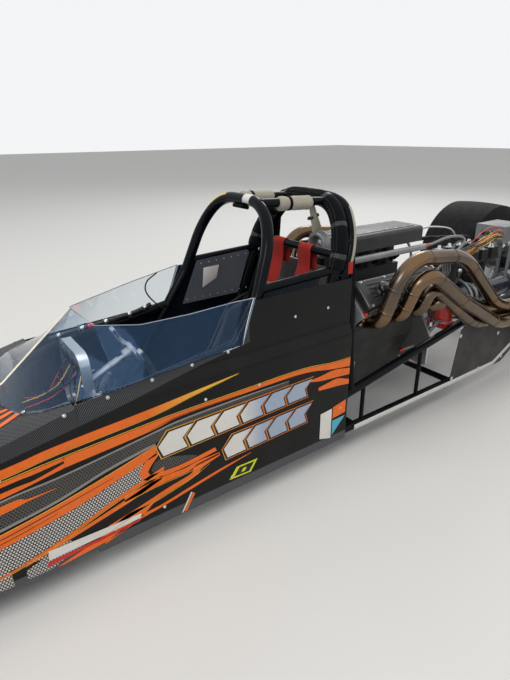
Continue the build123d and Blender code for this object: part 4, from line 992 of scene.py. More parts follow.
def puffed(mesh, voxel, pressure, cap):
    # blows a closed form up like a sewn pad; no point moves further than the cap
    carrier = bpy.data.objects.new("pad", mesh)
    scene.collection.objects.link(carrier)
    remesh = carrier.modifiers.new("even", "REMESH")
    remesh.mode = "VOXEL"
    remesh.voxel_size = voxel
    even = finished(carrier)
    carrier.modifiers.clear()
    carrier.data = even
    start = [vertex.co.copy() for vertex in even.vertices]
    cloth = carrier.modifiers.new("cloth", "CLOTH")
    cloth.settings.use_pressure = True
    cloth.settings.uniform_pressure_force = pressure
    cloth.settings.effector_weights.gravity = 0
    for frameNumber in range(1, puffFrames + 1):
        scene.frame_set(frameNumber)
    blown = finished(carrier)
    carrier.modifiers.clear()
    for vertex, before, after in zip(even.vertices, start, blown.vertices):
        move = after.co - before
        if move.length > cap:
            move *= cap / move.length
        vertex.co = before + move
    scene.frame_set(1)
    smoother = carrier.modifiers.new("smooth", "SUBSURF")
    smoother.levels = smoother.render_levels = 1
    result = finished(carrier)
    bpy.data.objects.remove(carrier)
    return result


# painted graphics: sheets of paint on the flat of the shell's sides, drawn in mm ahead and up on the left side
shellPlan = [(-420, 313), (900, 313), (2750, 195), (3310, 165), (3600, 62)]
paintSet = {"lift": 0.0004, "thick": 0.0003, "gap": 0.0002, "step": 16.0, "tip": 0.2}


def shellHalf(ahead):
    for (near, nearHalf), (far, farHalf) in zip(shellPlan, shellPlan[1:]):
        if ahead <= far:
            return (nearHalf + (farHalf - nearHalf) * (ahead - near) / (far - near)) / 1000
    return shellPlan[-1][1] / 1000


def onShell(ahead, height, layer, sign):
    lift = paintSet["lift"] + layer * (paintSet["thick"] + paintSet["gap"])
    return at(ahead / 1000, sign * (shellHalf(ahead) + lift), height / 1000)


def turnOut(mesh, sign):
    # the sheet's faces look away from the car
    facing = sum(face.normal.y * face.area for face in mesh.polygons)
    if facing * sign < 0:
        mesh.flip_normals()
    return mesh


def bandMesh(top, bottom, layer, sign, rows):
    # a strip of paint between two curves
    edges = [[Vector((x, 0, z)) for x, z in edge] for edge in (top, bottom)]
    length = sum((b - a).length for a, b in zip(edges[0], edges[0][1:]))
    count = max(6, int(length / paintSet["step"]))
    points = []
    for high, low in zip(*(smoothLine(edge, count) for edge in edges)):
        spots = [high.lerp(low, row / rows) for row in range(rows + 1)]
        points += [onShell(spot.x, spot.z, layer, sign) for spot in spots]
    faces = []
    width = rows + 1
    for step in range(count - 1):
        for first in range(step * width, step * width + rows):
            face = (first, first + 1, first + width + 1, first + width)
            faces.append(face if sign < 0 else face[::-1])
    return turnOut(meshFrom(points, faces), sign)


def patchMesh(outline, layer, sign, curved):
    # a closed patch of paint on the level part of the side
    corners = [Vector((x, 0, z)) for x, z in outline]
    if curved:
        corners = smoothLine(corners, max(24, len(corners) * 7), closed=True)
    triangles = mathutils.geometry.tessellate_polygon([corners])
    points = [onShell(corner.x, corner.z, layer, sign) for corner in corners]
    return turnOut(meshFrom(points, [tuple(face) for face in triangles]), sign)


def lineBand(points, width):
    # the two edges of a pinstripe of even width that comes to a point at its ends
    inside = range(1, len(points) - 1)
    halves = [width / 2 if index in inside else width * paintSet["tip"] for index in range(len(points))]
    return tuple([(x, z + way * half) for (x, z), half in zip(points, halves)] for way in (1, -1))


def between(upper, lower, share, count):
    # a line drawn between the edges of a band
    return [(x, a * share + b * (1 - share)) for (x, a), (_, b) in zip(upper, lower)][:count]


def shifted(points, rise):
    return [(x, z + rise) for x, z in points]


s1Top = [(3150, 313), (2600, 350), (1900, 408), (1300, 462), (870, 501), (726, 518), (445, 536), (294, 548), (122, 561)]
s1Low = [(3150, 311), (2600, 338), (1900, 386), (1300, 435), (875, 474), (730, 491), (448, 509), (295, 534), (122, 560)]
s2Top = [(3010, 297), (2600, 324), (1900, 374), (1300, 424), (878, 462), (710, 474)]
s2Split = [(3010, 296), (2600, 315), (1900, 360), (1300, 408), (880, 449), (799, 454), (713, 463)]
s2Under = [(2960, 281), (2600, 303), (1900, 344), (1300, 390), (884, 431), (802, 435), (713, 455)]
s2Low = [(2960, 279), (2600, 293), (1900, 328), (1300, 371), (887, 414), (715, 440)]
s2RearTop = [(714, 474), (450, 486), (346, 489), (121, 490), (-156, 490), (-314, 473), (-418, 470)]
s2RearLow = [(714, 440), (453, 459), (347, 475), (121, 476), (-157, 473), (-316, 447), (-418, 432)]
s3Line = [(2900, 268), (2600, 281), (1900, 314), (1300, 355), (888, 406), (719, 417), (454, 448), (349, 460),
          (121, 464), (-100, 462)]
s4Line = [(2900, 186), (2500, 198), (1900, 226), (1300, 264), (906, 316), (746, 341), (605, 378), (472, 402),
          (440, 407)]
s5Top = [(2950, 170), (2500, 184), (1900, 208), (1300, 246), (908, 303), (756, 328), (585, 366), (440, 404)]
s5Low = [(2950, 162), (2500, 160), (1900, 172), (1300, 200), (918, 255), (764, 281), (658, 304), (567, 333), (440, 366)]
spearTop = [(2700, 264), (2000, 294), (1300, 334), (891, 392), (823, 385), (747, 385)]
spearLow = [(2700, 262), (2000, 279), (1300, 308), (896, 365), (823, 377), (747, 383)]
s7Top = [(1000, 148), (871, 174), (734, 211), (598, 263), (478, 297), (420, 312)]
s7Low = [(1000, 146), (878, 166), (760, 196), (634, 238), (520, 272), (420, 300)]
s7Second = [(868, 162), (778, 190), (649, 222), (542, 250), (430, 282)]
s7SecondLow = [(868, 160), (778, 180), (649, 208), (542, 232), (430, 268)]
s9Top = [(786, 110), (658, 144), (561, 187), (479, 190)]
s9Low = [(770, 108), (634, 121), (520, 150), (470, 186)]

orangeBands = [
    # upper edge, lower edge, layer
    (s2Top, s2Split, 1), (s2Under, s2Low, 1), (s2RearTop, s2RearLow, 1), (spearTop, spearLow, 2), (s5Top, s5Low, 2),
    (s7Top, s7Low, 2), (s7Second, s7SecondLow, 2), (s9Top, s9Low, 2),
    ([(417, 380), (469, 362), (500, 329), (498, 300), (470, 281), (361, 276), (220, 290)],
     [(417, 379), (453, 344), (474, 317), (470, 304), (457, 299), (361, 293), (226, 306)], 2),
    ([(560, 262), (430, 274), (344, 272), (301, 279), (210, 279)],
     [(560, 238), (430, 250), (344, 252), (300, 262), (210, 270)], 2),
    ([(620, 176), (514, 198), (416, 222), (324, 240), (307, 265), (216, 276)],
     [(620, 160), (514, 180), (416, 202), (300, 226), (280, 246), (205, 266)], 2),
    ([(640, 118), (518, 158), (431, 169), (318, 190), (208, 208), (74, 222)],
     [(640, 112), (518, 146), (431, 158), (318, 178), (208, 198), (74, 220)], 2),
    ([(-190, 432), (-262, 434), (-330, 440), (-418, 425)], [(-190, 428), (-262, 412), (-330, 405), (-418, 396)], 2),
    ([(-250, 386), (-300, 392), (-350, 396), (-418, 374)], [(-250, 372), (-300, 366), (-350, 362), (-418, 352)], 2),
    ([(110, 326), (40, 330), (-60, 334)], [(110, 322), (40, 324), (-60, 332)], 2),
]
greyBands = [lineBand(s3Line, 6) + (2,), lineBand(s4Line, 9) + (2,)]
yellowBands = [
    lineBand(shifted(s1Low, -1), 1.6) + (3,), lineBand(shifted(s2Top + s2RearTop[1:], 3.4), 2.2) + (2,),
    lineBand(shifted(s5Top, -1.5), 1.8) + (3,), lineBand(shifted(s7Low, -2.5), 2.0) + (3,),
    lineBand([(660, 139), (520, 178), (416, 199), (318, 222), (250, 250)], 2.0) + (3,),
    lineBand([(600, 226), (520, 240), (430, 247), (344, 249), (250, 258)], 1.8) + (3,),
]
darkBands = [
    lineBand(between(s5Top, s5Low, 0.66, 7), 2.6) + (3,), lineBand(between(s5Top, s5Low, 0.36, 6), 2.0) + (3,),
    lineBand(shifted(s2RearLow[1:4], 3), 1.6) + (3,),
]
darkMeshBands = [(shifted(s3Line, -3), shifted(s4Line, 3) + [(300, 430), (-100, 446)], 0)]
lightMeshBands = [
    (shifted(s5Low[:5], -2), [(2950, 112), (2500, 112), (1900, 111), (1300, 111), (918, 111)], 0),
    ([(918, 253), (764, 279), (658, 302), (567, 331), (462, 362)],
     [(918, 166), (764, 202), (640, 246), (560, 274), (478, 297)], 0),
]
bandPlan = [
    # finish, rows of faces, bands
    ("paintOrange", 2, orangeBands), ("paintOrangeFade", 2, [(s1Top, s1Low, 1)]), ("paintGrey", 1, greyBands),
    ("paintYellow", 1, yellowBands), ("paintBlackLine", 3, darkBands), ("paintDarkMesh", 3, darkMeshBands),
    ("paintLightMesh", 3, lightMeshBands),
]
rowBlocks = [
    # front end, rear end, foot and top at the front, foot and top at the rear, how far the top leans back, blocks
    (452, -176, 352, 434, 371, 437, 26, 6),
    (212, -176, 243, 326, 256, 331, 28, 4),
]
blockSet = {"frontGap": 6, "rearGap": 12, "notch": 0.34}


def blockRows(grow):
    # rows of forward-pointing slanted chevrons, grown by a margin for the edge lines behind them
    outlines = []
    for front, rear, lowFront, highFront, lowRear, highRear, lean, count in rowBlocks:
        pitch = (front - rear) / count
        for number in range(count):
            ends = []
            for along in (number * pitch + blockSet["frontGap"] - grow,
                          (number + 1) * pitch - blockSet["rearGap"] + grow):
                share = along / (front - rear)
                ends.append((front - along, lowFront + (lowRear - lowFront) * share,
                             highFront + (highRear - highFront) * share))
            (x0, low0, high0), (x1, low1, high1) = ends
            notch = (high0 - low0) * blockSet["notch"]
            outlines.append([
                (x0 - notch, low0 - grow), (x0 - lean / 2, (low0 + high0) / 2), (x0 - lean - notch, high0 + grow),
                (x1 - lean - notch, high1 + grow), (x1 - lean / 2, (low1 + high1) / 2), (x1 - notch, low1 - grow)])
    return outlines


patchPlan = [
    # finish, layer, outlines
    ("paintLightMesh", 0, [[(919, 168), (919, 111), (800, 111), (740, 136), (680, 150), (760, 196), (871, 176)]]),
    ("paintDarkMesh", 1, [[(300, 300), (400, 296), (452, 304), (462, 318), (440, 344), (400, 340), (330, 318)]]),
    ("paintOrangeEdge", 3, blockRows(9)), ("paintBlackLine", 4, blockRows(6)), ("paintBlock", 5, blockRows(0)),
    ("paintWhite", 3, [[(802, 180), (512, 169), (516, 152), (806, 146)],
                       [(-268, 258), (-330, 264), (-330, 122), (-268, 140)],
                       [(371, 94), (329, 166), (324, 161), (363, 96)]]),
    ("paintRed", 3, [[(808, 142), (518, 148), (520, 141), (814, 126)]]),
    ("paintLemon", 3, [[(140, 185), (46, 183), (78, 136), (173, 141)]]),
    ("paintOrange", 3, [[(-336, 268), (-408, 282), (-408, 222), (-336, 214)],
                        [(352, 92), (314, 153), (322, 160), (360, 98)]]),
    ("paintSky", 3, [[(-336, 204), (-408, 206), (-336, 132)]]),
    ("paintBlackLine", 4, [[(128, 178), (62, 177), (86, 143), (152, 147)]]),
    ("paintLemon", 5, [[(112, 168), (96, 167), (106, 153), (122, 154)]]),
]


def makeGraphics():
    sheets = {}
    for sign in sides.values():
        drawn = [(finish, bandMesh(*band, sign, rows)) for finish, rows, bands in bandPlan for band in bands]
        drawn += [(finish, patchMesh(outline, layer, sign, curved=finish == "paintDarkMesh"))
                  for finish, layer, outlines in patchPlan for outline in outlines]
        for finish, mesh in drawn:
            sheets.setdefault(finish, []).append(mesh)
    for finish, meshes in sheets.items():
        addPiece(finish, solidSheet(joinMeshes(meshes), paintSet["thick"]), finish, smooth=False)


makeGraphics()
print("graphics painted")


# windshield: strips along its polished edges and over its fold that are painted highlights, and the screws along its
# foot
shieldSet = {"edge": 0.0022, "foldWidth": 0.0062, "foldHigh": 0.0011}
shieldTop = [(29, 282.5, 800), (100, 262.5, 794), (250, 235.5, 777), (400, 191.5, 762), (520, 117.5, 764),
             (556, 1, 800)]
shieldRear = [(28, 282.5, 800), (88, 293, 650)]
shieldFold = [(556, 0, 800), (660, 0, 712), (730, 0, 653), (790, 0, 602), (842, 0, 577)]
shieldScrews = [(775, 590), (691, 601), (563, 608), (422, 620), (284, 630), (148, 639)]
shellScrews = [(252, 503), (35, 489), (430, 151), (880, 470), (-140, 700), (-300, 700), (-380, 250), (600, 150),
               (160, 150)]


def straight(points, step=0.008):
    length = sum((after - before).length for before, after in zip(points, points[1:]))
    return evenly(points, max(3, int(length / step)))


def makeShieldTrim():
    strips, screws = [], []
    outside = surfaceOf("windshield", "body_left", "body_right", "front_body")
    for sign in sides.values():
        for points in (shieldTop, shieldRear):
            strips.append(sweepMesh(straight(mirroredPath(points, sign)),
                                    flatSection(shieldSet["edge"], shieldSet["edge"], 0.0008)))
        for ahead, height in shieldScrews + shellScrews:
            place, normal = touch(outside, mm(ahead, sign * 600, height), (0, -sign, 0))
            screws.append((place + normal * 0.0006, normal))
    # the pale blue-grey strips on the pane's polished edges stand in for the light those edges catch: painted highlight
    addPiece("shield_edges", strips, "edgeHighlight", smooth=False)
    # the cream strip over the fold stands in for the sun's highlight along the bend: a painted highlight
    wide, high = shieldSet["foldWidth"], shieldSet["foldHigh"]
    section = [(-wide, -0.0036), (0, -0.0012), (wide, -0.0036), (wide, -0.0022), (0, high), (-wide, -0.0022)]
    fold = sweepMesh(straight([mm(*point) for point in shieldFold]), section)
    addPiece("shield_fold", fold, "foldHighlightCream", smooth=False)
    setOnPoints("shell_screws", screws, screwHead(0.0058, 0.0026), "zinc")


makeShieldTrim()

# flames on the cowl: fingers of orange over a black edge, set down on the deck
flameSet = {"wide": 0.0085, "edge": 0.0035, "thick": 0.0003, "lifts": (0.0004, 0.0010), "fingers": [
    [(1300, 52), (1080, 92), (930, 122), (842, 137), (795, 145)],
    [(1300, 92), (1080, 134), (930, 163), (846, 172), (779, 161)],
    [(1300, 140), (1080, 186), (940, 212), (848, 213), (757, 182)]]}


def deckBand(points, half, lift):
    deck = surfaceOf("front_body")
    path = smoothLine([(ahead / 1000, across / 1000, 0) for ahead, across in points], 70)
    pairs = []
    for index, spot in enumerate(path):
        ahead = (path[min(index + 1, len(path) - 1)] - path[max(index - 1, 0)]).normalized()
        aside = Vector((-ahead.y, ahead.x, 0))
        share = index / (len(path) - 1)
        size = half * min(1.0, 0.15 + share * 2.2) * math.sqrt(max(0.0, 1 - max(0.0, (share - 0.9) / 0.1) ** 2) + 0.001)
        for way in (-1, 1):
            corner = spot + aside * way * size
            place, normal = touch(deck, at(corner.x, corner.y, 0.75), (0, 0, -1))
            pairs.append(place + normal * lift)
    faces = [(k, k + 1, k + 3, k + 2) for k in range(0, len(pairs) - 2, 2)]
    mesh = meshFrom(pairs, faces)
    if sum(face.normal.z for face in mesh.polygons) < 0:
        mesh.flip_normals()
    return mesh


def makeFlames():
    edges, fills = [], []
    for sign in sides.values():
        for finger in flameSet["fingers"]:
            points = [(ahead, sign * across) for ahead, across in finger]
            edges.append(deckBand(points, flameSet["wide"] + flameSet["edge"], flameSet["lifts"][0]))
            fills.append(deckBand(points, flameSet["wide"], flameSet["lifts"][1]))
    for name, meshes, finish in (("flame_edges", edges, "paintBlackLine"), ("flame_fingers", fills, "paintOrange")):
        addPiece(name, solidSheet(joinMeshes(meshes), flameSet["thick"]), finish, smooth=False)


makeFlames()
print("windshield trimmed and cowl flamed")

# padded sleeves
sleeveSet = {"roofRadius": 0.0272, "hoopRadius": 0.0328, "wrinkle": 0.0013, "seam": 0.0022, "seamWide": 0.09,
             "waist": 0.0024, "waistWide": 0.012, "ends": 0.012, "around": 40}


def sleeveMesh(path, radius, seed, straps=(), seamAngle=4.2):
    # a sleeve round a bar: drawn-in ends, a lap seam, soft wrinkles and a waist under each strap
    total = sum((after - before).length for before, after in zip(path, path[1:]))
    travelled = 0.0
    rings = []
    for index, (point, _, across, normal) in enumerate(pathFrames(path)):
        if index:
            travelled += (point - path[index - 1]).length
        edge = min(travelled, total - travelled)
        size = radius * (0.66 + 0.34 * math.sqrt(max(0.0, 1 - (1 - min(1.0, edge / sleeveSet["ends"])) ** 2)))
        for strap in straps:
            size -= sleeveSet["waist"] * math.exp(-((travelled - strap) / sleeveSet["waistWide"]) ** 2)
        ring = []
        for k in range(sleeveSet["around"]):
            angle = circle * k / sleeveSet["around"]
            c, s = math.cos(angle), math.sin(angle)
            fold = mathutils.noise.noise(Vector((c * 1.4 + seed, s * 1.4, travelled * 24)))
            fine = mathutils.noise.noise(Vector((c * 3.3, s * 3.3 + seed, travelled * 62)))
            seam = sleeveSet["seam"] * math.exp(-((angle - seamAngle) / sleeveSet["seamWide"]) ** 2)
            reach = size - sleeveSet["wrinkle"] * (1 + fold + 0.5 * fine) - seam
            ring.append(point + (across * c + normal * s) * reach)
        rings.append(ring)
    return ringMesh(rings)


def wrapMesh(path, radius, thick, middle, spread, around=20):
    # a band that lies on a round bar, over the given angles
    outer, inner = [], []
    for k in range(around + 1):
        angle = middle - spread / 2 + spread * k / around
        outer.append(((radius + thick) * math.cos(angle), (radius + thick) * math.sin(angle)))
        inner.append((radius * math.cos(angle), radius * math.sin(angle)))
    return sweepMesh(path, outer + inner[::-1])


def stitchRow(path, radius, angle, pitch=0.006):
    # stitches along a sleeve at one angle
    spots = []
    gone = pitch
    for (point, ahead, across, normal), after in zip(pathFrames(path), path[1:]):
        gone += (after - point).length
        if gone >= pitch:
            gone = 0.0
            out = across * math.cos(angle) + normal * math.sin(angle)
            spots.append((point + out * radius, out, ahead))
    return spots


def makeSleeves():
    straps, threads = [], []
    for side, sign in sides.items():
        path = evenly([mm(-190, sign * 118, 1070.8), mm(-346, sign * 118, 1062.5)], 56)
        sleeve = sleeveMesh(path, sleeveSet["roofRadius"], 3.1 * sign, straps=(0.047,))
        piece = addPiece(f"roof_sleeve_{side}", sleeve, "sleeve")
        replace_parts(piece, "roof_pads")
        straps.append(wrapMesh(path[15:20], 0.0240, 0.0022, 0, circle - 0.05, 36))
        for angle in (4.02, 4.38):
            threads += stitchRow(path, 0.0263, angle)
    addPiece("sleeve_straps", straps, "padBlack")
    setOnPoints("sleeve_stitches", threads, stitchShape(), "thread")


makeSleeves()

# the main hoop's thick padding, laced on with straps
mainHoop = [(-340, 262, 786), (-388.8, 258, 927.8), (-437.7, 150, 1069.7)]
frontHoop = [(450, 283.7, 111), (0, 254, 786), (-68.1, 230, 963.4), (-114, 140, 1082.9)]


def hoopPath(corners, radii, count, first=None):
    left = mirroredPath(corners, 1)
    if first is not None:
        left[0] = left[0].lerp(left[1], first)
    right = mirroredPath(corners, -1)[::-1]
    if first is not None:
        right[-1] = left[0].copy()
        right[-1].y = -right[-1].y
    return roundedPath(left + right, radii, count)


def makeHoopPads():
    path = hoopPath(mainHoop, [0.26, 0.17, 0.17, 0.26], 190, first=0.31)
    total = sum((after - before).length for before, after in zip(path, path[1:]))
    places = [total * share for share in (0.06, 0.2, 0.36, 0.64, 0.8, 0.94)]
    pad = addPiece("hoop_padding", sleeveMesh(path, sleeveSet["hoopRadius"], 7.7, straps=places, seamAngle=1.5),
                   "padBlack")
    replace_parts(pad, "hoop_pads")
    bands = []
    for place in places:
        middle = int(place / total * (len(path) - 1))
        bands.append(wrapMesh(path[middle - 2:middle + 3], 0.0290, 0.0022, 0, circle - 0.05, 32))
    addPiece("hoop_pad_straps", bands, "wireBlack")
    setOnPoints("hoop_pad_stitches", stitchRow(path, 0.0318, 1.28, 0.005) + stitchRow(path, 0.0318, 1.72, 0.005),
                stitchShape(), "thread", size=0.9)


makeHoopPads()


def makeHoopMarks():
    # a yellow strip and a bare patch on the front hoop, and the small pad under its crown
    path = hoopPath(frontHoop, [0.15, 0.26, 0.17, 0.17, 0.26, 0.15], 420)
    strip = [point for point in path if point.z > 1.0 and -0.178 < point.y < -0.078]
    addPiece("hoop_strip", wrapMesh(strip, 0.0207, 0.0004, 2.2, 0.55), "paintYellow")
    patch = [point for point in path if point.z > 1.0 and 0.028 < point.y < 0.078]
    addPiece("hoop_patch", wrapMesh(patch, 0.0207, 0.0004, 1.4, 4.4), "dialWhite")
    under = slabMesh(roundedBox(0.07, 0.034, 0.008), 0.014, 0.004)
    addPiece("crown_pad", stood(under, mm(-112, 0, 1063), (0.25, 0, -1), yAxis), "padBlack")
    # a bare plate on the far liner; its near-white colour is painted sunlight on its face
    plate = [(-72, 780), (-149, 782), (-134, 726), (-63, 695)]
    outline = [((ahead + 100) / 1000, (740 - height) / 1000) for ahead, height in plate]
    addPiece("liner_plate", stood(slabMesh(outline, 0.0014, 0.0004), mm(-100, -236.6, 740), yAxis, xAxis), "dialWhite")


makeHoopMarks()


# shoulder harness: webs over the bar with sewn ends and a slide on each
harnessSet = {"across": 85, "width": 0.074, "thick": 0.0022, "bevel": 0.0007, "doubled": 0.0024, "points": 120,
              "radii": [0.06, 0.08, 0.0182, 0.0182], "slideAt": 34, "slideLift": 0.0042, "seam": 0.44,
              "ends": ((2, 6), (111, 116))}
harnessLine = [(-259, 553), (-293, 645), (-353.8, 812), (-353.8, 898.2), (-390.4, 898.2), (-390.4, 792)]
harnessTail = [(-331, 741), (-322, 690), (-316, 640)]


def slideMesh(width, high, bar):
    # a flat three-bar slide
    ring = [Vector((x, y, 0)) for x, y in roundedBox(width, high, 0.008)]
    parts = [sweepMesh(ring, flatSection(bar, 0.003, 0.0008), closed=True)]
    parts.append(sweepMesh([Vector((x, 0, 0.001)) for x in (-width / 2, 0, width / 2)],
                           flatSection(bar * 1.3, 0.003, 0.0008)))
    return joinMeshes(parts)


def makeHarness():
    webs, slides, threads = [], [], []
    for sign in sides.values():
        across = sign * harnessSet["across"]
        corners = [mm(ahead, across, height) for ahead, height in harnessLine]
        path = roundedPath(corners, harnessSet["radii"], harnessSet["points"])
        upward = Vector((1, 0, 0.3))
        runs = [(path, 1.0)]
        for part in (path[:7], path[-9:]):
            frames = pathFrames(part, upward=upward)
            runs.append(([point + normal * harnessSet["doubled"] for point, _, _, normal in frames], 0.98))
        runs.append((smoothLine([mm(ahead, across, height) for ahead, height in harnessTail], 18), 0.96))
        for run, share in runs:
            section = flatSection(harnessSet["width"] * share, harnessSet["thick"], harnessSet["bevel"])
            webs.append(sweepMesh(run, section, upward=upward))
        frames = pathFrames(path, upward=upward)
        point, _, aside, normal = frames[harnessSet["slideAt"]]
        slides.append(stood(slideMesh(0.088, 0.046, 0.007), point + normal * harnessSet["slideLift"], normal, aside))
        for point, ahead, aside, normal in frames[1:-1]:
            for way in (-1, 1):
                threads.append((point + aside * way * harnessSet["width"] * harnessSet["seam"] + normal * 0.0014,
                                normal, ahead))
        for low, high in harnessSet["ends"]:
            for point, _, aside, normal in frames[low:high]:
                threads += [(point + aside * step * 0.0044 + normal * 0.0038, normal, aside) for step in range(-7, 8)]
    web = addPiece("harness_webs", webs, "web")
    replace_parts(web, "harness")
    addPiece("harness_slides", slides, "zinc")
    setOnPoints("harness_stitches", threads, stitchShape(0.0036, 0.0005), "threadRed")


makeHarness()
print("sleeves and harness made")

# seat: a formed shell with sewn, padded cushions
seatLine = [(259, 235), (243, 207), (225, 178), (207, 154), (183, 136), (150, 124.5), (122, 120.3), (50, 120.3),
            (-20, 120.3), (-56, 126), (-85, 142), (-106, 164), (-122, 192), (-160, 287), (-210, 414), (-265, 555),
            (-321, 698)]
wingOutline = [(250, 236), (224, 188), (192, 148), (150, 124), (80, 118), (-10, 119), (-66, 129), (-106, 166),
               (-148, 262), (-222, 448), (-288, 620), (-272, 630), (-200, 607), (-176, 590), (-66, 404), (-20, 348),
               (40, 331), (120, 331), (214, 330), (236, 290)]
seatSet = {"shell": 0.004, "shellHalf": 0.2255, "deep": 0.0258, "cushion": 0.017, "cushionLow": -0.021,
           "cushionHalf": 0.190, "wingAt": 0.2215, "wingPad": 0.2035, "wingShare": 0.93, "piping": 0.0045,
           "voxel": 0.005, "pressure": 4.0, "cap": 0.007, "seamDeep": 0.0045, "seamWide": 0.0055, "columns": 12}
cushions = {
    # stretch of the seat's line, first seam, distance between seams, seams
    "seat_base": (8, 78, 0.07, 0.062, 6), "seat_back": (86, 176, 0.52, 0.066, 8)}


def seatSlab(line, low, high, half):
    # a closed slab that follows the seat's line, between two heights over it
    columns = seatSet["columns"]
    rings = []
    for point, _, across, normal in pathFrames(line):
        top = [point + across * (half * (1 - 2 * k / columns)) + normal * high for k in range(columns + 1)]
        under = [point + across * (half * (2 * k / columns - 1)) + normal * low for k in range(columns + 1)]
        rings.append(top + under)
    return ringMesh(rings)


def pressSeams(mesh, line, stations):
    # presses sewn channels across a pad at distances along its line
    tree = mathutils.kdtree.KDTree(len(line))
    distances = [0.0]
    for index, point in enumerate(line):
        tree.insert(point, index)
        if index:
            distances.append(distances[-1] + (point - line[index - 1]).length)
    tree.balance()
    frames = pathFrames(line)
    for vertex in mesh.vertices:
        _, index, _ = tree.find(Vector((vertex.co.x, 0, vertex.co.z)))
        point, ahead, _, normal = frames[index]
        away = vertex.co - point
        if away.dot(normal) > -0.012:
            along = distances[index] + away.dot(ahead)
            for station in stations:
                vertex.co -= normal * seatSet["seamDeep"] * math.exp(-((along - station) / seatSet["seamWide"]) ** 2)


def makeSeat():
    line = smoothLine([mm(ahead, 0, height) for ahead, height in seatLine], 180)
    shells = [seatSlab(line, -seatSet["deep"], -seatSet["deep"] + seatSet["shell"], seatSet["shellHalf"])]
    edges, pads = [], []
    for sign in sides.values():
        outline = [(ahead / 1000, height / 1000) for ahead, height in wingOutline]
        wing = slabMesh(outline, seatSet["shell"], 0.001)
        turn = Matrix(((1, 0, 0), (0, 0, sign), (0, 1, 0))).to_4x4()
        shells.append(outward(placed(wing, Matrix.Translation((hoopX, sign * seatSet["wingAt"], 0)) @ turn)))
        loop = smoothLine([mm(ahead, sign * 222, height) for ahead, height in wingOutline], 110, closed=True)
        edges.append(sweepMesh(loop, roundSection(seatSet["piping"], 8), closed=True))
        middle = Vector((sum(x for x, _ in outline) / len(outline), sum(z for _, z in outline) / len(outline)))
        inner = [tuple(middle + (Vector(point) - middle) * seatSet["wingShare"]) for point in outline]
        pad = slabMesh(inner, seatSet["cushion"] - 0.004, 0.003)
        pads.append(outward(placed(pad, Matrix.Translation((hoopX, sign * seatSet["wingPad"], 0)) @ turn)))
    shell = addPiece("seat_shell", shells, "blackGloss")
    addPiece("seat_piping", edges, "leather")
    low = seatSet["cushionLow"]
    pieces = {name: seatSlab(line[first:last], low, low + seatSet["cushion"], seatSet["cushionHalf"])
              for name, (first, last, *_) in cushions.items()}
    pieces.update(zip(("seat_wing_left", "seat_wing_right"), pads))
    for name, mesh in pieces.items():
        blown = puffed(mesh, seatSet["voxel"], seatSet["pressure"], seatSet["cap"])
        if name in cushions:
            _, _, nearest, pitch, count = cushions[name]
            pressSeams(blown, line, [nearest + pitch * k for k in range(count)])
        piece = addPiece(name, blown, "leather")
        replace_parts(piece, "seat")
    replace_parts(shell, "seat")


makeSeat()
print("seat made")

# a head pad that hangs from the left roof bar, and the pale edging of the main hoop
wingPad = [(-352, 1050), (-378, 1049), (-419, 962), (-412, 950), (-380, 936), (-373, 948)]
padStrap = [(-352, 101.5, 1000), (-400, 101.5, 1012), (-400, 114.5, 1012), (-352, 114.5, 1000)]


def makeHeadPads():
    outline = [((ahead + 385) / 1000, (height - 990) / 1000) for ahead, height in wingPad]
    slab = stood(slabMesh(outline, 0.010, 0.003), mm(-385, 113, 990), -yAxis, xAxis)
    addPiece("head_pad_left", puffed(slab, 0.003, 3.0, 0.003), "sleeve")
    loop = [mm(ahead, across, up) for ahead, across, up in padStrap]
    strap = sweepMesh(evenly(loop + loop[:1], 24)[:-1], flatSection(0.0016, 0.010, 0.0005), closed=True)
    addPiece("head_pad_straps", strap, "wireBlack")
    trims, tabs = [], []
    rear = [(ahead - 58, across, up) for ahead, across, up in mainHoop]
    path = hoopPath(rear, [0.26, 0.17, 0.17, 0.26], 300)
    for sign in sides.values():
        run = [point for point in path if point.y * sign > 0.175 and point.z > 0.846]
        if sign < 0:
            run = run[::-1]
        frames = pathFrames(run, upward=Vector((0, sign, 0)))
        edge = [point + normal * 0.0212 for point, _, _, normal in frames]
        trims.append(sweepMesh(edge, flatSection(0.013, 0.0026, 0.0008), upward=Vector((0, sign, 0))))
        low = min(edge, key=lambda point: point.z)
        tab = slabMesh(roundedBox(0.024, 0.046, 0.002), 0.0024, 0.0006)
        tabs.append(stood(tab, low + Vector((0.004, sign * 0.0005, -0.016)), (0, sign, 0), xAxis))
    addPiece("hoop_edging", trims, "sleeve")
    addPiece("hoop_tabs", tabs, "web")


makeHeadPads()

# steering wheel: padded grips, a hub ring with its screws and two buttons
handSet = {"centre": (360, 0, 600), "tilt": 25, "grip": 125, "reach": 0.055, "wide": 0.0172, "deep": 0.0120,
           "steps": 60, "waves": 8, "button": 0.060, "screws": 6, "ring": 0.0262}
tilt = math.radians(handSet["tilt"])
columnAim = Vector((math.cos(tilt), 0, -math.sin(tilt)))
wheelUp = Vector((math.sin(tilt), 0, math.cos(tilt)))


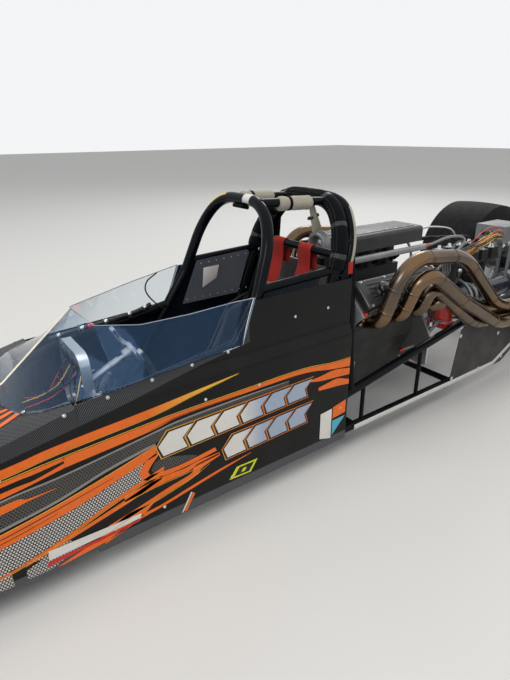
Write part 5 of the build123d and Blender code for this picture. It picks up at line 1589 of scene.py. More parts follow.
def makeWheelDress():
    centre = mm(*handSet["centre"])
    grips, screws, buttons = [], [], {"redPlastic": [], "bluePlastic": []}
    shares = [k / handSet["steps"] for k in range(handSet["steps"] + 1)]
    sizes = [min(1.0, 0.45 + min(share, 1 - share) * 9) * (1 - 0.05 * math.cos(share * math.pi * handSet["waves"]))
             for share in shares]
    section = [(x * handSet["wide"] * (1 - 0.16 * abs(x * y)), y * handSet["deep"]) for x, y in roundSection(1.0, 20)]
    for sign in sides.values():
        middle = centre + yAxis * (sign * handSet["grip"] / 1000) + columnAim * 0.007
        path = [middle + wheelUp * (handSet["reach"] * (2 * share - 1)) for share in shares]
        grips.append(sweepMesh(path, section, upward=columnAim, scale=sizes))
        button = latheMesh([(0.0098, 0), (0.0098, 0.002), (0.0072, 0.0024), (0.0070, 0.0052), (0.0045, 0.0064),
                            (0, 0.0067)], 18)
        finish = "redPlastic" if sign > 0 else "bluePlastic"
        buttons[finish].append(stood(button, centre + yAxis * (sign * handSet["button"]), -columnAim))
    addPiece("wheel_grips", grips, "leather", "steering_wheel")
    for finish, meshes in buttons.items():
        addPiece(f"wheel_button_{finish[:3]}", meshes, finish, "steering_wheel")
    ring = latheMesh([(0.020, 0), (0.0325, 0), (0.0325, 0.003), (0.030, 0.0044), (0.0225, 0.0044), (0.020, 0.003),
                      (0.020, 0)], 36)
    cap = latheMesh([(0.0185, 0), (0.0185, 0.004), (0.014, 0.0062), (0, 0.0066)], 28)
    for mesh in (ring, cap):
        stood(mesh, centre, -columnAim)
    addPiece("wheel_hub_ring", ring, "blueAnodised", "steering_wheel")
    addPiece("wheel_hub_cap", cap, "blackGloss", "steering_wheel")
    for k in range(handSet["screws"]):
        angle = circle * (k + 0.5) / handSet["screws"]
        spot = centre + (yAxis * math.cos(angle) + wheelUp * math.sin(angle)) * handSet["ring"] - columnAim * 0.0042
        screws.append((spot, -columnAim, wheelUp))
    setOnPoints("wheel_screws", screws, screwHead(0.0028, 0.0018), "zinc", "steering_wheel")


makeWheelDress()

# dash: an instrument panel on the strap, its switches and gauges, a grip lever, and the wiring
dashSet = {"ahead": 548, "low": 588, "high": 660, "half": 96, "gauges": ((62, 0.026), (-62, 0.026), (0, 0.030)),
           "marks": 11, "firstMark": 225, "sweep": 27, "handTurn": 0.03, "toggles": (-84, -32, 32, 84), "lean": 0.35}
leverSet = {"across": 150, "rod": [(545, 534), (538, 550), (520, 582)], "collar": [(545, 536), (541, 545)],
            "grip": [(534, 556), (503, 608)], "steps": 24}


def makeDash():
    middle = (dashSet["low"] + dashSet["high"]) / 2000
    panel = slabMesh(roundedBox(2 * dashSet["half"] / 1000, (dashSet["high"] - dashSet["low"]) / 1000, 0.012), 0.003,
                     0.0008)
    back = -xAxis
    face = at(dashSet["ahead"] / 1000, 0, middle)
    addPiece("dash_panel", stood(panel, face + Vector((0.003, 0, 0)), back, yAxis), "greyPanel")
    cases, dials, needles = [], [], []
    for across, radius in dashSet["gauges"]:
        spot = face + Vector((0, across / 1000, 0.002))
        case = latheMesh([(0, -0.034), (radius * 0.92, -0.034), (radius * 0.92, 0), (radius + 0.002, 0),
                          (radius + 0.002, 0.006), (radius - 0.002, 0.008), (radius - 0.003, 0.003), (0, 0.003)], 32)
        cases.append(stood(case, spot, back, yAxis))
        dial = latheMesh([(radius - 0.0032, 0.0031), (radius - 0.0032, 0.0036), (0, 0.0036)], 32)
        dials.append(stood(dial, spot, back, yAxis))
        for k in range(dashSet["marks"]):
            angle = math.radians(dashSet["firstMark"] - dashSet["sweep"] * k)
            mark = slabMesh([(-0.0004, 0), (0.0004, 0), (0.0004, 0.004), (-0.0004, 0.004)], 0.0003)
            turn = Matrix.Rotation(angle - math.pi / 2, 4, "Z") @ Matrix.Translation((0, radius - 0.009, 0.0037))
            needles.append(placed(mark, aimed(spot, back, yAxis) @ turn))
        hand = slabMesh([(-0.0008, -0.004), (0.0008, -0.004), (0.0003, radius - 0.010), (-0.0003, radius - 0.010)],
                        0.0005)
        swing = Matrix.Translation((0, 0, 0.0042)) @ Matrix.Rotation(across * dashSet["handTurn"], 4, "Z")
        needles.append(placed(hand, aimed(spot, back, yAxis) @ swing))
    addPiece("gauge_cases", cases, "blackGloss")
    addPiece("gauge_dials", dials, "dialWhite")
    addPiece("gauge_marks", needles, "wireBlack")
    toggle = joinMeshes([latheMesh([(0.0055, 0), (0.0055, 0.003), (0.004, 0.0042), (0.003, 0.0042)], 12),
                         placed(latheMesh([(0.0014, 0), (0.0018, 0.012), (0.0026, 0.017), (0, 0.019)], 10),
                                Matrix.Rotation(dashSet["lean"], 4, "X"))])
    levers = [(face + Vector((0, across / 1000, -0.027)), back, yAxis) for across in dashSet["toggles"]]
    setOnPoints("dash_toggles", levers, toggle, "zinc")
    # grip lever on its bracket beside the strap
    bracket = slabMesh(roundedBox(0.046, 0.030, 0.006), 0.004, 0.001)
    addPiece("lever_bracket", stood(bracket, mm(548, 140, 532), zAxis, yAxis), "sheet")
    rod, collar, grip = ([mm(ahead, leverSet["across"], height) for ahead, height in leverSet[key]]
                         for key in ("rod", "collar", "grip"))
    collarRing = sweepMesh(collar, roundSection(0.010, 14))
    addPiece("lever_rod", [tubeAlong(rod, 0.005, 16), collarRing], "zinc")
    steps = range(leverSet["steps"] + 1)
    grip = [grip[0].lerp(grip[1], k / leverSet["steps"]) for k in steps]
    sizes = [0.72 + 0.28 * math.sin(math.pi * min(1, k / leverSet["steps"] * 1.2)) + 0.05 * math.cos(k * 1.6)
             for k in steps]
    addPiece("lever_grip", sweepMesh(grip, roundSection(0.0150, 18), scale=sizes), "leather")


makeDash()

wireRuns = {
    # finish: (radius, points)
    "wireBlack": [
        (0.0030, [(135, -252, 790), (184, -248, 760), (190, -246, 716), (150, -244, 660), (103, -246, 619)]),
        (0.0085, [(588, -234, 618), (492, -234, 628), (400, -236, 634), (337, -236, 640), (250, -236, 650),
                  (180, -240, 668)]),
        (0.0040, [(572, 60, 600), (610, 40, 560), (640, -60, 500), (652, -150, 452), (640, -236, 420)]),
        (0.0036, [(574, -60, 600), (600, -90, 560), (590, -140, 500), (620, -200, 440), (700, -236, 400)]),
        (0.0030, [(576, 0, 590), (596, 10, 540), (600, 60, 470), (592, 120, 424), (640, 200, 400), (720, 236, 380)]),
        (0.0028, [(490, 40, 470), (470, 60, 480), (455, 40, 500), (440, 15, 512)]),
    ],
    "redPlastic": [
        (0.0020, [(574, -84, 590), (622, -120, 500), (646, -146, 450), (717, -216, 430)]),
        (0.0018, [(574, 32, 590), (606, 10, 540), (652, -70, 470), (730, -113, 440)]),
    ],
    "yellowPlastic": [
        (0.0020, [(574, -30, 592), (616, -60, 520), (660, -130, 462), (730, -150, 446)]),
        (0.0018, [(574, 84, 592), (600, 96, 530), (616, 60, 470), (680, -20, 430)]),
    ],
    "braidBlack": [
        (0.0060, [(600, -225, 440), (520, -232, 400), (430, -236, 360), (320, -238, 330), (200, -238, 320)]),
    ],
}


def makeCockpitWires():
    for finish, runs in wireRuns.items():
        meshes = [tubeAlong([mm(*point) for point in points], radius, 46, 10) for radius, points in runs]
        addPiece(f"cockpit_wires_{finish}", meshes, finish)
    clips = []
    loom = smoothLine([mm(*point) for point in wireRuns["wireBlack"][1][1]], 60)
    for index in (4, 16, 30, 44, 54):
        clips.append(wrapMesh(loom[index:index + 3], 0.0088, 0.0014, 0, circle - 0.05, 20))
    addPiece("loom_clips", clips, "zinc")
    addPiece("loom_fitting", sweepMesh(loom[20:25], roundSection(0.0105, 14)), "redAnodised")
    # bolts that hold the column bracket and the belly pan
    bolts = [(mm(565, across, 418), zAxis) for across in (-125, 125)]
    bolts += [(mm(ahead, across, 92), zAxis) for ahead in range(560, -360, -130) for across in (-230, 230)]
    setOnPoints("floor_bolts", bolts, hexHead(0.006, 0.0045), "zinc")


makeCockpitWires()
print("cockpit dressed")

# engine bay: the headers with their welds, flanges and collectors
weldSet = {"proud": 0.0009, "span": 4, "bend": 0.05, "first": 6, "last": 30, "apart": 12}
headerSet = {"pipe": 0.0305, "portY": 255.6, "portZ": 579.6, "outY": 372, "outZ": 445, "wall": 0.044, "points": 260,
             "ports": [-557, -679, -801, -923], "nest": 27.5,
             "ways": [[(-640, 366, 850), (-1038, 362, 806), (-1385, 362, 508), (-1560, 368, 474)],
                      [(-715, 398, 810), (-1010, 402, 618), (-1370, 398, 425), (-1560, 396, 415)],
                      [(-850, 350, 700), (-1230, 350, 440), (-1560, 346, 418)],
                      [(-1000, 345, 640), (-1300, 340, 500), (-1560, 344, 474)]]}


def sweepingPath(points, count, roundest=0.32):
    # bends as wide as the runs between the corners allow
    radii = []
    for before, corner, after in zip(points, points[1:], points[2:]):
        half = (before - corner).angle(after - corner) / 2
        radii.append(min(roundest, 0.46 * min((before - corner).length, (after - corner).length) * math.tan(half)))
    return roundedPath(points, radii, count)


def makeHeaders():
    pipes, beads, bolts, bands = [], [], [], []
    pipe, portY, portZ = headerSet["pipe"], headerSet["portY"], headerSet["portZ"]
    for sign in sides.values():
        facing = Vector((0, sign, -1)).normalized()
        for port, way, (outY, outZ) in zip(headerSet["ports"], headerSet["ways"], ((1, 1), (1, -1), (-1, -1), (-1, 1))):
            points = [(port, portY + 3, portZ - 3), (port - 10, portY + 75, portZ + 10)] + way
            points += [(-1725, 374 + headerSet["nest"] * outY, 445 + headerSet["nest"] * outZ)]
            path = sweepingPath(mirroredPath(points, sign), headerSet["points"])
            pipes.append(sweepMesh(path[::2] + path[-1:], roundSection(pipe, 24)))
            frames = pathFrames(path)
            # a weld wherever a bend begins or ends
            bent = [before[1].angle(after[1]) > weldSet["bend"]
                    for before, after in zip(frames, frames[weldSet["span"]:])]
            last = 0
            for k in range(weldSet["first"], len(bent) - weldSet["last"]):
                if bent[k] != bent[k - 1] and k - last > weldSet["apart"]:
                    last = k
                    beads.append(wrapMesh(path[k + 1:k + 4], pipe, weldSet["proud"], 0, circle - 0.02, 24))
            seat = mm(port, sign * portY, portZ)
            plate = slabMesh(roundedBox(0.092, 0.062, 0.014), 0.0092, 0.0012)
            pipes.append(stood(plate, seat, facing, xAxis))
            for away in (-38, 38):
                bolts.append((seat + facing * 0.0088 + Vector((away / 1000, 0, 0)), facing))
        shell = [(0.0625, 0.350), (0.0640, 0.330), (0.0600, 0.290), (0.0440, 0.215), (0.0440, 0.0), (0.0415, 0.0),
                 (0.0415, 0.215), (0.0575, 0.290), (0.0600, 0.345), (0.0625, 0.350)]
        pipes.append(stood(latheMesh(shell, 44), mm(-2040, sign * headerSet["outY"], headerSet["outZ"]), xAxis))
        for stations, thick, gap in (((-1856, -1863, -1870), 0.0025, 0.05), ((-2032, -2036, -2040), 0.0014, 0.02)):
            path = [mm(ahead, sign * headerSet["outY"], headerSet["outZ"]) for ahead in stations]
            bands.append(wrapMesh(path, headerSet["wall"], thick, 0, circle - gap, 40))
    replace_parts(addPiece("header_pipes", pipes, "pipe"), "headers")
    addPiece("header_welds", beads, "pipe")
    addPiece("collector_bands", bands, "zinc")
    setOnPoints("header_bolts", bolts, hexHead(0.0065, 0.006), "zinc")


makeHeaders()

# valve covers, heads and intake
engineMiddle = -745
coverSet = {"across": 167, "up": 601, "lift": 0.1452, "ribs": (-36, -18, 0, 18, 36),
            "screws": (-0.21, -0.07, 0.07, 0.21),
            "aside": (-0.054, 0.054), "capAt": 0.13}


def makeEngineTop():
    ribs, caps, screws, boots = [], [], [], []
    for sign in sides.values():
        normal, down = Vector((0, sign, 1)).normalized(), Vector((0, sign, -1)).normalized()
        middle = mm(engineMiddle, sign * coverSet["across"], coverSet["up"]) + normal * coverSet["lift"]
        for across in coverSet["ribs"]:
            start = middle + down * (across / 1000)
            path = [start + Vector((reach, 0, 0)) for reach in (-0.19, -0.186, 0.0, 0.186, 0.19)]
            ribs.append(sweepMesh(path, flatSection(0.005, 0.009, 0.0018), upward=normal, scale=[0.4, 1, 1, 1, 0.4]))
        screws += [(middle + Vector((reach, 0, 0)) + down * across - normal * 0.001, normal)
                   for reach in coverSet["screws"] for across in coverSet["aside"]]
        cap = latheMesh([(0.027, 0), (0.027, 0.010), (0.022, 0.012), (0.022, 0.020), (0.026, 0.024), (0.026, 0.034),
                         (0.020, 0.038), (0, 0.038)], 28)
        caps.append(stood(cap, middle + xAxis * (sign * coverSet["capAt"]), normal))
        for port in headerSet["ports"]:
            plug = mm(port + 38, sign * 262, 613)
            aim = Vector((0, sign, 0.35)).normalized()
            boot = latheMesh([(0.011, -0.004), (0.011, 0.018), (0.008, 0.022), (0.008, 0.034), (0.0055, 0.038),
                              (0, 0.038)], 16)
            boots.append(stood(boot, plug, aim))
    addPiece("cover_ribs", ribs, "cover")
    addPiece("cover_caps", caps, "blackGloss")
    addPiece("plug_boots", boots, "redPlastic")
    setOnPoints("cover_screws", screws, hexHead(0.0055, 0.006), "zinc")
    # plenum: a lid with its screws, the throttle body in front and the fuel rails on both sides
    lid = stood(slabMesh(roundedBox(0.50, 0.150, 0.020), 0.0035, 0.001), mm(-810, 0, 894), zAxis, xAxis)
    addPiece("plenum_lid", lid, "castDark")
    lidScrews = [(mm(-810 + along, across, 897), zAxis) for along in range(-232, 233, 58) for across in (-66, 66)]
    setOnPoints("plenum_screws", lidScrews, screwHead(0.0042, 0.0024), "zinc")
    throttle = latheMesh([(0.040, 0.002), (0.040, 0.034), (0.052, 0.034), (0.052, 0.026), (0.044, 0.022),
                          (0.044, 0.004), (0.060, 0.004), (0.060, 0.0), (0.040, 0.0), (0.040, 0.002)], 40)
    blade = latheMesh([(0, 0.012), (0.0392, 0.012), (0.0392, 0.0145), (0, 0.0145)], 36)
    for mesh in (throttle, blade):
        stood(mesh, mm(-526, 0, 860), xAxis)
    addPiece("throttle_body", throttle, "castAlloy")
    addPiece("throttle_blade", blade, "sheet")
    rails = [sweepMesh(straight([mm(-545, sign * 122, 800), mm(-1085, sign * 122, 800)], 0.02),
                       roundedBox(0.022, 0.026, 0.006, 3)) for sign in sides.values()]
    addPiece("fuel_rails", rails, "castAlloy")
    spots = [(mm(port, sign * 58, 748), Vector((0, sign * 0.062, 0.052)).normalized())
             for sign in sides.values() for port in headerSet["ports"]]
    injector = latheMesh([(0.0085, 0), (0.0085, 0.016), (0.0115, 0.018), (0.0115, 0.048), (0.008, 0.052),
                          (0.008, 0.078), (0, 0.078)], 16)
    setOnPoints("injectors", spots, injector, "blackGloss", smooth=True)


makeEngineTop()

# hoses with their screwed fittings
hoseRuns = {
    "braid": [
        (0.0072, [(-1092, 122, 800), (-1140, 126, 806), (-1220, 150, 830), (-1286, 176, 830), (-1300, 190, 806),
                  (-1240, 196, 770), (-1150, 190, 720), (-1100, 176, 668)]),
        (0.0072, [(-1092, -122, 800), (-1150, -128, 806), (-1230, -120, 790), (-1262, -90, 720), (-1240, -70, 640),
                  (-1200, -60, 560)]),
        (0.0080, [(-1128, 236, 448), (-1080, 246, 440), (-1030, 236, 400), (-1010, 200, 340), (-960, 150, 300)]),
        (0.0080, [(-1190, 236, 448), (-1250, 244, 440), (-1330, 232, 392), (-1420, 200, 330), (-1500, 150, 320)]),
    ],
    "braidBlack": [
        (0.0055, [(-1122, 300, 708), (-1080, 322, 690), (-1035, 322, 640), (-1000, 300, 570), (-975, 290, 515),
                  (-967, 288, 480)]),
        (0.0065, [(-1165, 212, 566), (-1168, 208, 610), (-1140, 190, 650), (-1080, 176, 660), (-1030, 168, 640)]),
        (0.0060, [(-2300, 78, 476), (-2200, 120, 470), (-1980, 170, 440), (-1700, 200, 420), (-1400, 220, 408),
                  (-1300, 226, 402)]),
    ],
}


def fittingMesh(path, radius):
    # a screwed hose end: a sleeve and a six-sided nut at the start of a path
    sleeve = sweepMesh(path[:3], roundSection(radius * 1.45, 16))
    nut = sweepMesh([path[0] - (path[1] - path[0]).normalized() * 0.010, path[0] + (path[1] - path[0]) * 0.2],
                    roundSection(radius * 1.75, 6))
    return [sleeve, nut]


def makeHoses():
    ends = {"redAnodised": [], "zinc": []}
    for finish, runs in hoseRuns.items():
        meshes = []
        for number, (radius, points) in enumerate(runs):
            path = smoothLine([mm(*point) for point in points], 64)
            meshes.append(sweepMesh(path, roundSection(radius, 14)))
            kind = "redAnodised" if (number + len(finish)) % 2 else "zinc"
            ends[kind] += fittingMesh(path, radius) + fittingMesh(path[::-1], radius)
        addPiece(f"bay_hoses_{finish}", meshes, finish)
    for finish, meshes in ends.items():
        addPiece(f"hose_ends_{finish}", meshes, finish)
    rod = [mm(-1092, 60, 868), mm(-1195, 62, 872), mm(-1352, 66, 846), mm(-1420, 68, 790)]
    addPiece("throttle_rod", [tubeAlong(rod, 0.0048, 40, 10),
                              sweepMesh([rod[0], rod[0] + Vector((-0.02, 0, 0))], roundSection(0.009, 14)),
                              sweepMesh([rod[-1], rod[-1] + Vector((0, 0, -0.095))], roundSection(0.006, 12))], "zinc")


makeHoses()

# ignition: towers on the coils, plug leads to both heads, and the loom arching to the box
coilStations = [-1630 + 380 * (step - 1.5) / 4 for step in range(4)]
coilTop = 699
wireSet = {"lead": 0.0042, "loom": 0.0026, "count": 15, "yellow": 9, "red": 11, "seed": 7}
boxSet = {"middle": (-2080, -60), "lid": 779.6, "screws": 782, "front": -1965}


def makeIgnition():
    towers, screws, leads = [], [], []
    for sign in sides.values():
        for number, (station, port) in enumerate(zip(coilStations, headerSet["ports"][::-1])):
            tower = latheMesh([(0.016, 0), (0.016, 0.003), (0.010, 0.005), (0.0085, 0.020), (0.006, 0.022),
                               (0, 0.022)], 18)
            towers.append(stood(tower, mm(station, sign * 70, coilTop), zAxis))
            screws += [(mm(station + away, sign * 70, coilTop), zAxis) for away in (-24, 24)]
            rise = 738 + 9 * number
            lead = [(station, 70, 716), (station + 12, 74, rise), (station + 130, 108, rise + 8),
                    (-1170, 190 + 6 * number, 742), (-1040, 268 + 3 * number, 700 - 5 * number),
                    (port + 10, 318, 648), (port + 38, 299, 626)]
            leads.append(tubeAlong(mirroredPath(lead, sign), wireSet["lead"], 60, 8))
    addPiece("coil_towers", towers, "zinc")
    setOnPoints("coil_screws", screws, screwHead(0.004, 0.0024), "zinc")
    addPiece("plug_leads", leads, "wireBlack")
    random.seed(wireSet["seed"])
    looms = {"yellowPlastic": [], "redPlastic": [], "wireBlack": []}
    for number in range(wireSet["count"]):
        finish = ("yellowPlastic" if number < wireSet["yellow"] else
                  "redPlastic" if number < wireSet["red"] else "wireBlack")
        spread = (number % 5 - 2) * 9
        rise = random.uniform(-26, 14) + (26 if finish == "redPlastic" else 0)
        start = -1484 + random.uniform(-14, 14)
        path = [(start, 98 + spread * 0.5, 684), (start - 40, 102 + spread, 722 + rise * 0.5),
                (-1592 - number * 3, 104 + spread, 758 + rise), (-1696 - number * 4, 98 + spread, 780 + rise),
                (-1826 - number * 3, 70 + spread, 756 + rise * 0.7), (-1924, 8 + spread * 1.4, 738),
                (-1966, -34 + spread * 1.8, 735 + (number % 3 - 1) * 14)]
        looms[finish].append(tubeAlong(mirroredPath(path, 1), wireSet["loom"], 46, 8))
    for finish, meshes in looms.items():
        addPiece(f"bay_loom_{finish}", meshes, finish)
    sockets = []
    for across, height in ((-100, 735), (-60, 735), (-20, 735), (-80, 712), (-40, 712)):
        socket = latheMesh([(0.013, 0), (0.013, 0.008), (0.0105, 0.010), (0.0105, 0.020), (0.006, 0.022), (0, 0.022)],
                           18)
        sockets.append(stood(socket, mm(boxSet["front"], across, height), xAxis))
    addPiece("box_sockets", sockets, "coil")
    ahead, aside = boxSet["middle"]
    lid = slabMesh(roundedBox(0.222, 0.182, 0.010), 0.0025, 0.0009)
    addPiece("box_lid", stood(lid, mm(ahead, aside, boxSet["lid"]), zAxis, xAxis), "box")
    lidScrews = [(mm(ahead + along, aside + across, boxSet["screws"]), zAxis)
                 for along in (-100, 0, 100) for across in (-80, 80)]
    setOnPoints("box_screws", lidScrews, screwHead(0.0042, 0.0024), "zinc")


makeIgnition()

# drive line and oil filter
driveZ = 406
driveFlanges = [
    # station, inner radius in front and behind, outer radius, front face, rear face, facets
    (-1016, 0.187, 0.187, 0.197, -0.004, 0.006, 72), (-1196, 0.127, 0.125, 0.138, -0.004, 0.005, 60),
    (-1596, 0.110, 0.110, 0.120, -0.006, 0.006, 60), (-1716, 0.060, 0.060, 0.074, -0.008, 0.008, 48),
]
driveBolts = [
    # station, radius, count
    (-1020.5, 0.191, 14), (-1200.5, 0.132, 12), (-1602.5, 0.115, 10), (-1724.5, 0.067, 8),
]
ribSet = {"count": 7, "first": -1230, "pitch": 52, "radius": 0.128, "narrower": 0.004, "facets": 56}
canSet = {"foot": (-1165, 212, 432), "fins": 16, "first": 0.010, "pitch": 0.0062}


def ringSpots(ahead, height, radius, count, facing):
    # places round an axis that points along facing
    first = facing.orthogonal().normalized()
    second = facing.cross(first)
    angles = [circle * k / count for k in range(count)]
    return [(mm(ahead, 0, height) + (first * math.cos(angle) + second * math.sin(angle)) * radius, facing, first)
            for angle in angles]


def turnedAlongX(profile, ahead, height, around):
    return stood(latheMesh(profile, around), mm(ahead, 0, height), xAxis)


def makeDriveDetails():
    flanges = [turnedAlongX([(front, low), (outer, low), (outer, high), (rear, high), (front, low)], station, driveZ,
                            around) for station, front, rear, outer, low, high, around in driveFlanges]
    addPiece("drive_flanges", flanges, "castAlloy")
    bolts = []
    for station, radius, count in driveBolts:
        bolts += ringSpots(station, driveZ, radius, count, -xAxis)
    setOnPoints("drive_bolts", bolts, hexHead(0.006, 0.006), "zinc")
    ribs = []
    for number in range(ribSet["count"]):
        radius = ribSet["radius"] - ribSet["narrower"] * number
        profile = [(radius - 0.004, -0.003), (radius + 0.0035, -0.002), (radius + 0.0035, 0.002),
                   (radius - 0.004, 0.003), (radius - 0.004, -0.003)]
        station = ribSet["first"] - number * ribSet["pitch"]
        ribs.append(turnedAlongX(profile, station, driveZ, ribSet["facets"]))
    addPiece("gearbox_ribs", ribs, "bellBlue")
    # oil filter: fins round the can, a bright base and cap
    fins = [(0.0485, 0.004)]
    for number in range(canSet["fins"]):
        low = canSet["first"] + number * canSet["pitch"]
        fins += [(0.0500, low), (0.0516, low + 0.0008), (0.0516, low + 0.0030), (0.0500, low + 0.0038)]
    fins += [(0.0502, 0.112), (0.047, 0.1225), (0.030, 0.1262), (0, 0.1268)]
    foot = mm(*canSet["foot"])
    addPiece("filter_fins", stood(latheMesh(fins, 48), foot, zAxis), "filter")
    base = latheMesh([(0.052, 0), (0.053, 0.004), (0.051, 0.009), (0.049, 0.009), (0.049, 0), (0.052, 0)], 48)
    cap = latheMesh([(0.016, 0.1255), (0.016, 0.130), (0.013, 0.133), (0, 0.133)], 6)
    for mesh in (base, cap):
        stood(mesh, foot, zAxis)
    addPiece("filter_base", [base, cap], "castAlloy")


makeDriveDetails()

# a pale strip along the lower rail that is a painted highlight of sunlight on it, the studs of the bay panels and the
# rivets of the liners
railHighlightSet = {"thick": 0.0016, "wide": 0.024,
           "run": [(-480, 310, 114), (-1150, 310, 116), (-1170, 313.2, 118), (-1560, 313.2, 121), (-1716, 313.2, 196)]}
panelSpots = [(-1200, 370), (-1180, 140), (-1420, 430), (-1420, 128), (-1640, 142), (-1690, 430), (-1560, 300)]


def makeBayTrim():
    strips, studs, rivets = [], [], []
    panel = surfaceOf("bay_panels")
    for sign in sides.values():
        path = evenly(mirroredPath(railHighlightSet["run"], sign), 120)
        strips.append(sweepMesh(path, flatSection(railHighlightSet["thick"], railHighlightSet["wide"], 0.0005)))
        studs += [touch(panel, mm(ahead, sign * 500, height), (0, -sign, 0)) for ahead, height in panelSpots]
        for ahead in range(-290, 21, 38):
            for height in (655, 800):
                if height == 655 or ahead < -45:
                    drop = 0 if height == 655 else (ahead + 45) * 0.04
                    rivets.append((mm(ahead, sign * 236.6, height - drop), Vector((0, -sign, 0))))
    # the strip's white is painted sunlight on the rail
    addPiece("rail_strip", strips, "dialWhite")
    stud = joinMeshes([latheMesh([(0.0105, -0.0003), (0.0105, 0.0012), (0.0085, 0.0022), (0, 0.0022)], 18),
                       placed(slabMesh(roundedBox(0.012, 0.0022, 0.0008, 1), 0.0008),
                              Matrix.Translation((0, 0, 0.0020)))])
    setOnPoints("panel_studs", studs, stud, "zinc")
    setOnPoints("liner_rivets", rivets, screwHead(0.0032, 0.0014), "zinc")


makeBayTrim()
print("engine bay dressed")

# wheels: nuts, bead bolts, valves, caps and ridges on the sidewalls
wheelSet = {
    "rear": {"axis": (-2650, 406), "nuts": (5, 72), "bead": (20, 196),
             "ridges": (222, 236, 252), "valve": 168, "face": 900},
    "front": {"axis": (3250, 280), "nuts": (5, 47), "bead": (0, 0),
              "ridges": (232, 240, 258), "valve": 205, "face": 600},
}


def sideRing(surface, ahead, height, sign, radius, wide, proud):
    # a ridge that follows a tyre's sidewall at one radius
    place, _ = touch(surface, mm(ahead, sign * 900, height + radius), (0, -sign, 0))
    inner, outer = radius / 1000 - wide, radius / 1000 + wide
    profile = [(inner, -0.0012), (inner, 0.0), (radius / 1000 - wide / 2, proud), (radius / 1000 + wide / 2, proud),
               (outer, 0.0), (outer, -0.0012), (inner, -0.0012)]
    return stood(latheMesh(profile, 96), Vector((mm(ahead, 0, 0).x, place.y, height / 1000)), (0, sign, 0))


def makeWheelDetails(body, rims, tyre, given, sign, name):
    surface, rubber = surfaceOf(rims), surfaceOf(tyre)
    ahead, height = given["axis"]
    inward = (0, -sign, 0)

    def around(radius, count, turn=0.0):
        angles = [turn + circle * k / count for k in range(count)]
        return [touch(surface, mm(ahead + radius * math.cos(angle), sign * given["face"],
                                  height + radius * math.sin(angle)), inward) for angle in angles]

    nuts, radius = given["nuts"]
    setOnPoints(f"{name}_nuts", around(radius, nuts, 0.3), hexHead(0.0105, 0.014), "zinc", body)
    count, radius = given["bead"]
    if count:
        setOnPoints(f"{name}_bead_bolts", around(radius, count), hexHead(0.0055, 0.005), "zinc", body)
    stem = latheMesh([(0.0055, -0.002), (0.0055, 0.004), (0.0035, 0.006), (0.0035, 0.020), (0.0045, 0.021),
                      (0.0045, 0.030), (0, 0.031)], 14)
    place, normal = around(given["valve"] - 6, 1, 1.1)[0]
    addPiece(f"{name}_valve", stood(stem, place, (normal + Vector((0, sign, 0))).normalized()), "blackGloss", body)
    rings = [sideRing(rubber, ahead, height, sign, radius, 0.0022, 0.0008) for radius in given["ridges"]]
    addPiece(f"{name}_ridges", rings, "rubber", body)


def makeWheels():
    hub = [(0.052, -0.003), (0.052, 0.004), (0.046, 0.007), (0.030, 0.008), (0.028, 0.016), (0.012, 0.019), (0, 0.019)]
    dome = [(0.034, -0.004), (0.034, 0.004), (0.026, 0.012), (0.010, 0.0155), (0, 0.016)]
    for side, sign in sides.items():
        rear, wheel, rim = f"{side}_rear", f"{side}_front_wheel", f"{side}_front_rim"
        makeWheelDetails("rear_axle", "rear_rims", "rear_slicks", wheelSet["rear"], sign, rear)
        makeWheelDetails(wheel, rim, f"{side}_front_tyre", wheelSet["front"], sign, f"{side}_front")
        (ahead, height), (frontAhead, frontHeight) = wheelSet["rear"]["axis"], wheelSet["front"]["axis"]
        cap = stood(latheMesh(hub, 36), mm(ahead, sign * 516, height), (0, sign, 0))
        addPiece(f"{rear}_cap", cap, "redAnodised", "rear_axle")
        place, _ = touch(surfaceOf(rim), mm(frontAhead, sign * 600, frontHeight), (0, -sign, 0))
        addPiece(f"{side}_front_cap", stood(latheMesh(dome, 36), place, (0, sign, 0)), "spun", wheel)


makeWheels()


# tread: shallow rain lines round the front tyres
treadSet = {"lines": (-24, -18, -12, 12, 18, 24), "middle": (3250, 440, 280), "above": 700}


def makeTreadLines():
    ahead, aside, centre = treadSet["middle"]
    for side, sign in sides.items():
        rubber = surfaceOf(f"{side}_front_tyre")
        ribs = []
        for across in treadSet["lines"]:
            place, _ = touch(rubber, mm(ahead, sign * aside + across, treadSet["above"]), (0, 0, -1))
            high = place.z - centre / 1000
            profile = [(high - 0.002, -0.0035), (high + 0.0004, -0.0032), (high + 0.0006, 0), (high + 0.0004, 0.0032),
                       (high - 0.002, 0.0035), (high - 0.002, -0.0035)]
            ribs.append(stood(latheMesh(profile, 120), mm(ahead, sign * aside + across, centre), yAxis))
        addPiece(f"{side}_front_tread", ribs, "rubber", f"{side}_front_wheel")


makeTreadLines()


# steering: nuts on the pins of the knuckles and at the ends of the tie rod
pinSet = {"king": 3250, "rod": 3140, "across": 365, "height": 280, "nuts": (0.272, 0.290)}


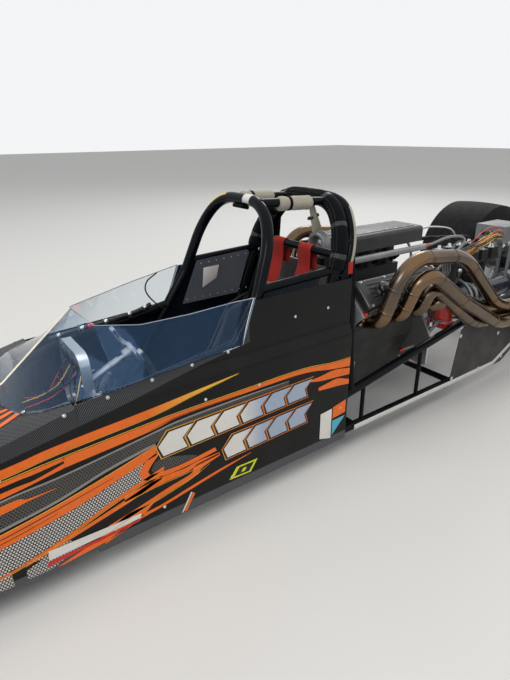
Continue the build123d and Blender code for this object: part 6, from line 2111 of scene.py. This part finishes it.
def makeSteeringDetails():
    for side, sign in sides.items():
        knuckle = surfaceOf(f"{side}_knuckle")
        spots = []
        for ahead in (pinSet["king"], pinSet["rod"]):
            for way in (-1, 1):
                start = mm(ahead, sign * pinSet["across"], pinSet["height"] - way * 300)
                spots.append((touch(knuckle, start, zAxis * way)[0], zAxis * -way))
        setOnPoints(f"{side}_knuckle_nuts", spots, hexHead(0.009, 0.008), "zinc", f"{side}_knuckle")
    low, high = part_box("tie_rod")
    height = (low[2] + high[2]) / 2
    nuts = [sweepMesh([at(pinSet["rod"] / 1000, sign * reach, height) for reach in pinSet["nuts"]],
                      roundSection(0.0125, 6)) for sign in sides.values()]
    addPiece("rod_lock_nuts", nuts, "zinc", "tie_rod")


makeSteeringDetails()


# nose, belly and rear: quarter-turn studs, rivets and bolts
def makeOutsideDetails():
    nose, front = surfaceOf("nose_cone"), surfaceOf("front_body")
    studs = []
    for surface, ahead in ((nose, 2772), (front, 2728)):
        for k in range(14):
            angle = math.pi * (0.04 + 0.92 * k / 13)
            aim = Vector((0, -math.cos(angle), -math.sin(angle)))
            studs.append(touch(surface, mm(ahead, 600 * math.cos(angle), 260 + 600 * math.sin(angle)), aim))
    stud = latheMesh([(0.0095, -0.0005), (0.0095, 0.0009), (0.0075, 0.0018), (0.0035, 0.0012), (0, 0.0010)], 18)
    setOnPoints("nose_studs", studs, stud, "zinc", size=0.8)
    belly = surfaceOf("belly_pan")
    low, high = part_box("belly_pan")
    rivets = []
    for step in range(46):
        along = low[0] + 0.03 + (high[0] - low[0] - 0.06) * step / 45
        for across in (low[1] * 0.94, high[1] * 0.94):
            place = belly.ray_cast(Vector((along, across, -0.2)), zAxis)[0]
            if place:
                rivets.append((place, -zAxis))
    setOnPoints("belly_rivets", rivets, screwHead(0.004, 0.0014), "zinc")
    housing = surfaceOf("rear_housing")
    bolts = []
    for k in range(10):
        angle = circle * k / 10
        place, normal = touch(housing, mm(-3050, 96 * math.cos(angle), 406 + 96 * math.sin(angle)), (1, 0, 0))
        if abs(normal.x) > 0.7:
            bolts.append((place, normal, yAxis))
    setOnPoints("housing_bolts", bolts, hexHead(0.007, 0.006), "zinc")
    plates, places = surfaceOf("motor_plates"), []
    for across in (-262, -210, 210, 262):
        for height in (160, 250, 420):
            for start, way in ((0, -xAxis), (-1300, xAxis)):
                place = plates.ray_cast(mm(start, across, height), way)[0]
                if place:
                    places.append((place, -way, yAxis))
    setOnPoints("plate_bolts", places, hexHead(0.007, 0.006), "zinc")


makeOutsideDetails()
print("wheels, nose and rear dressed")
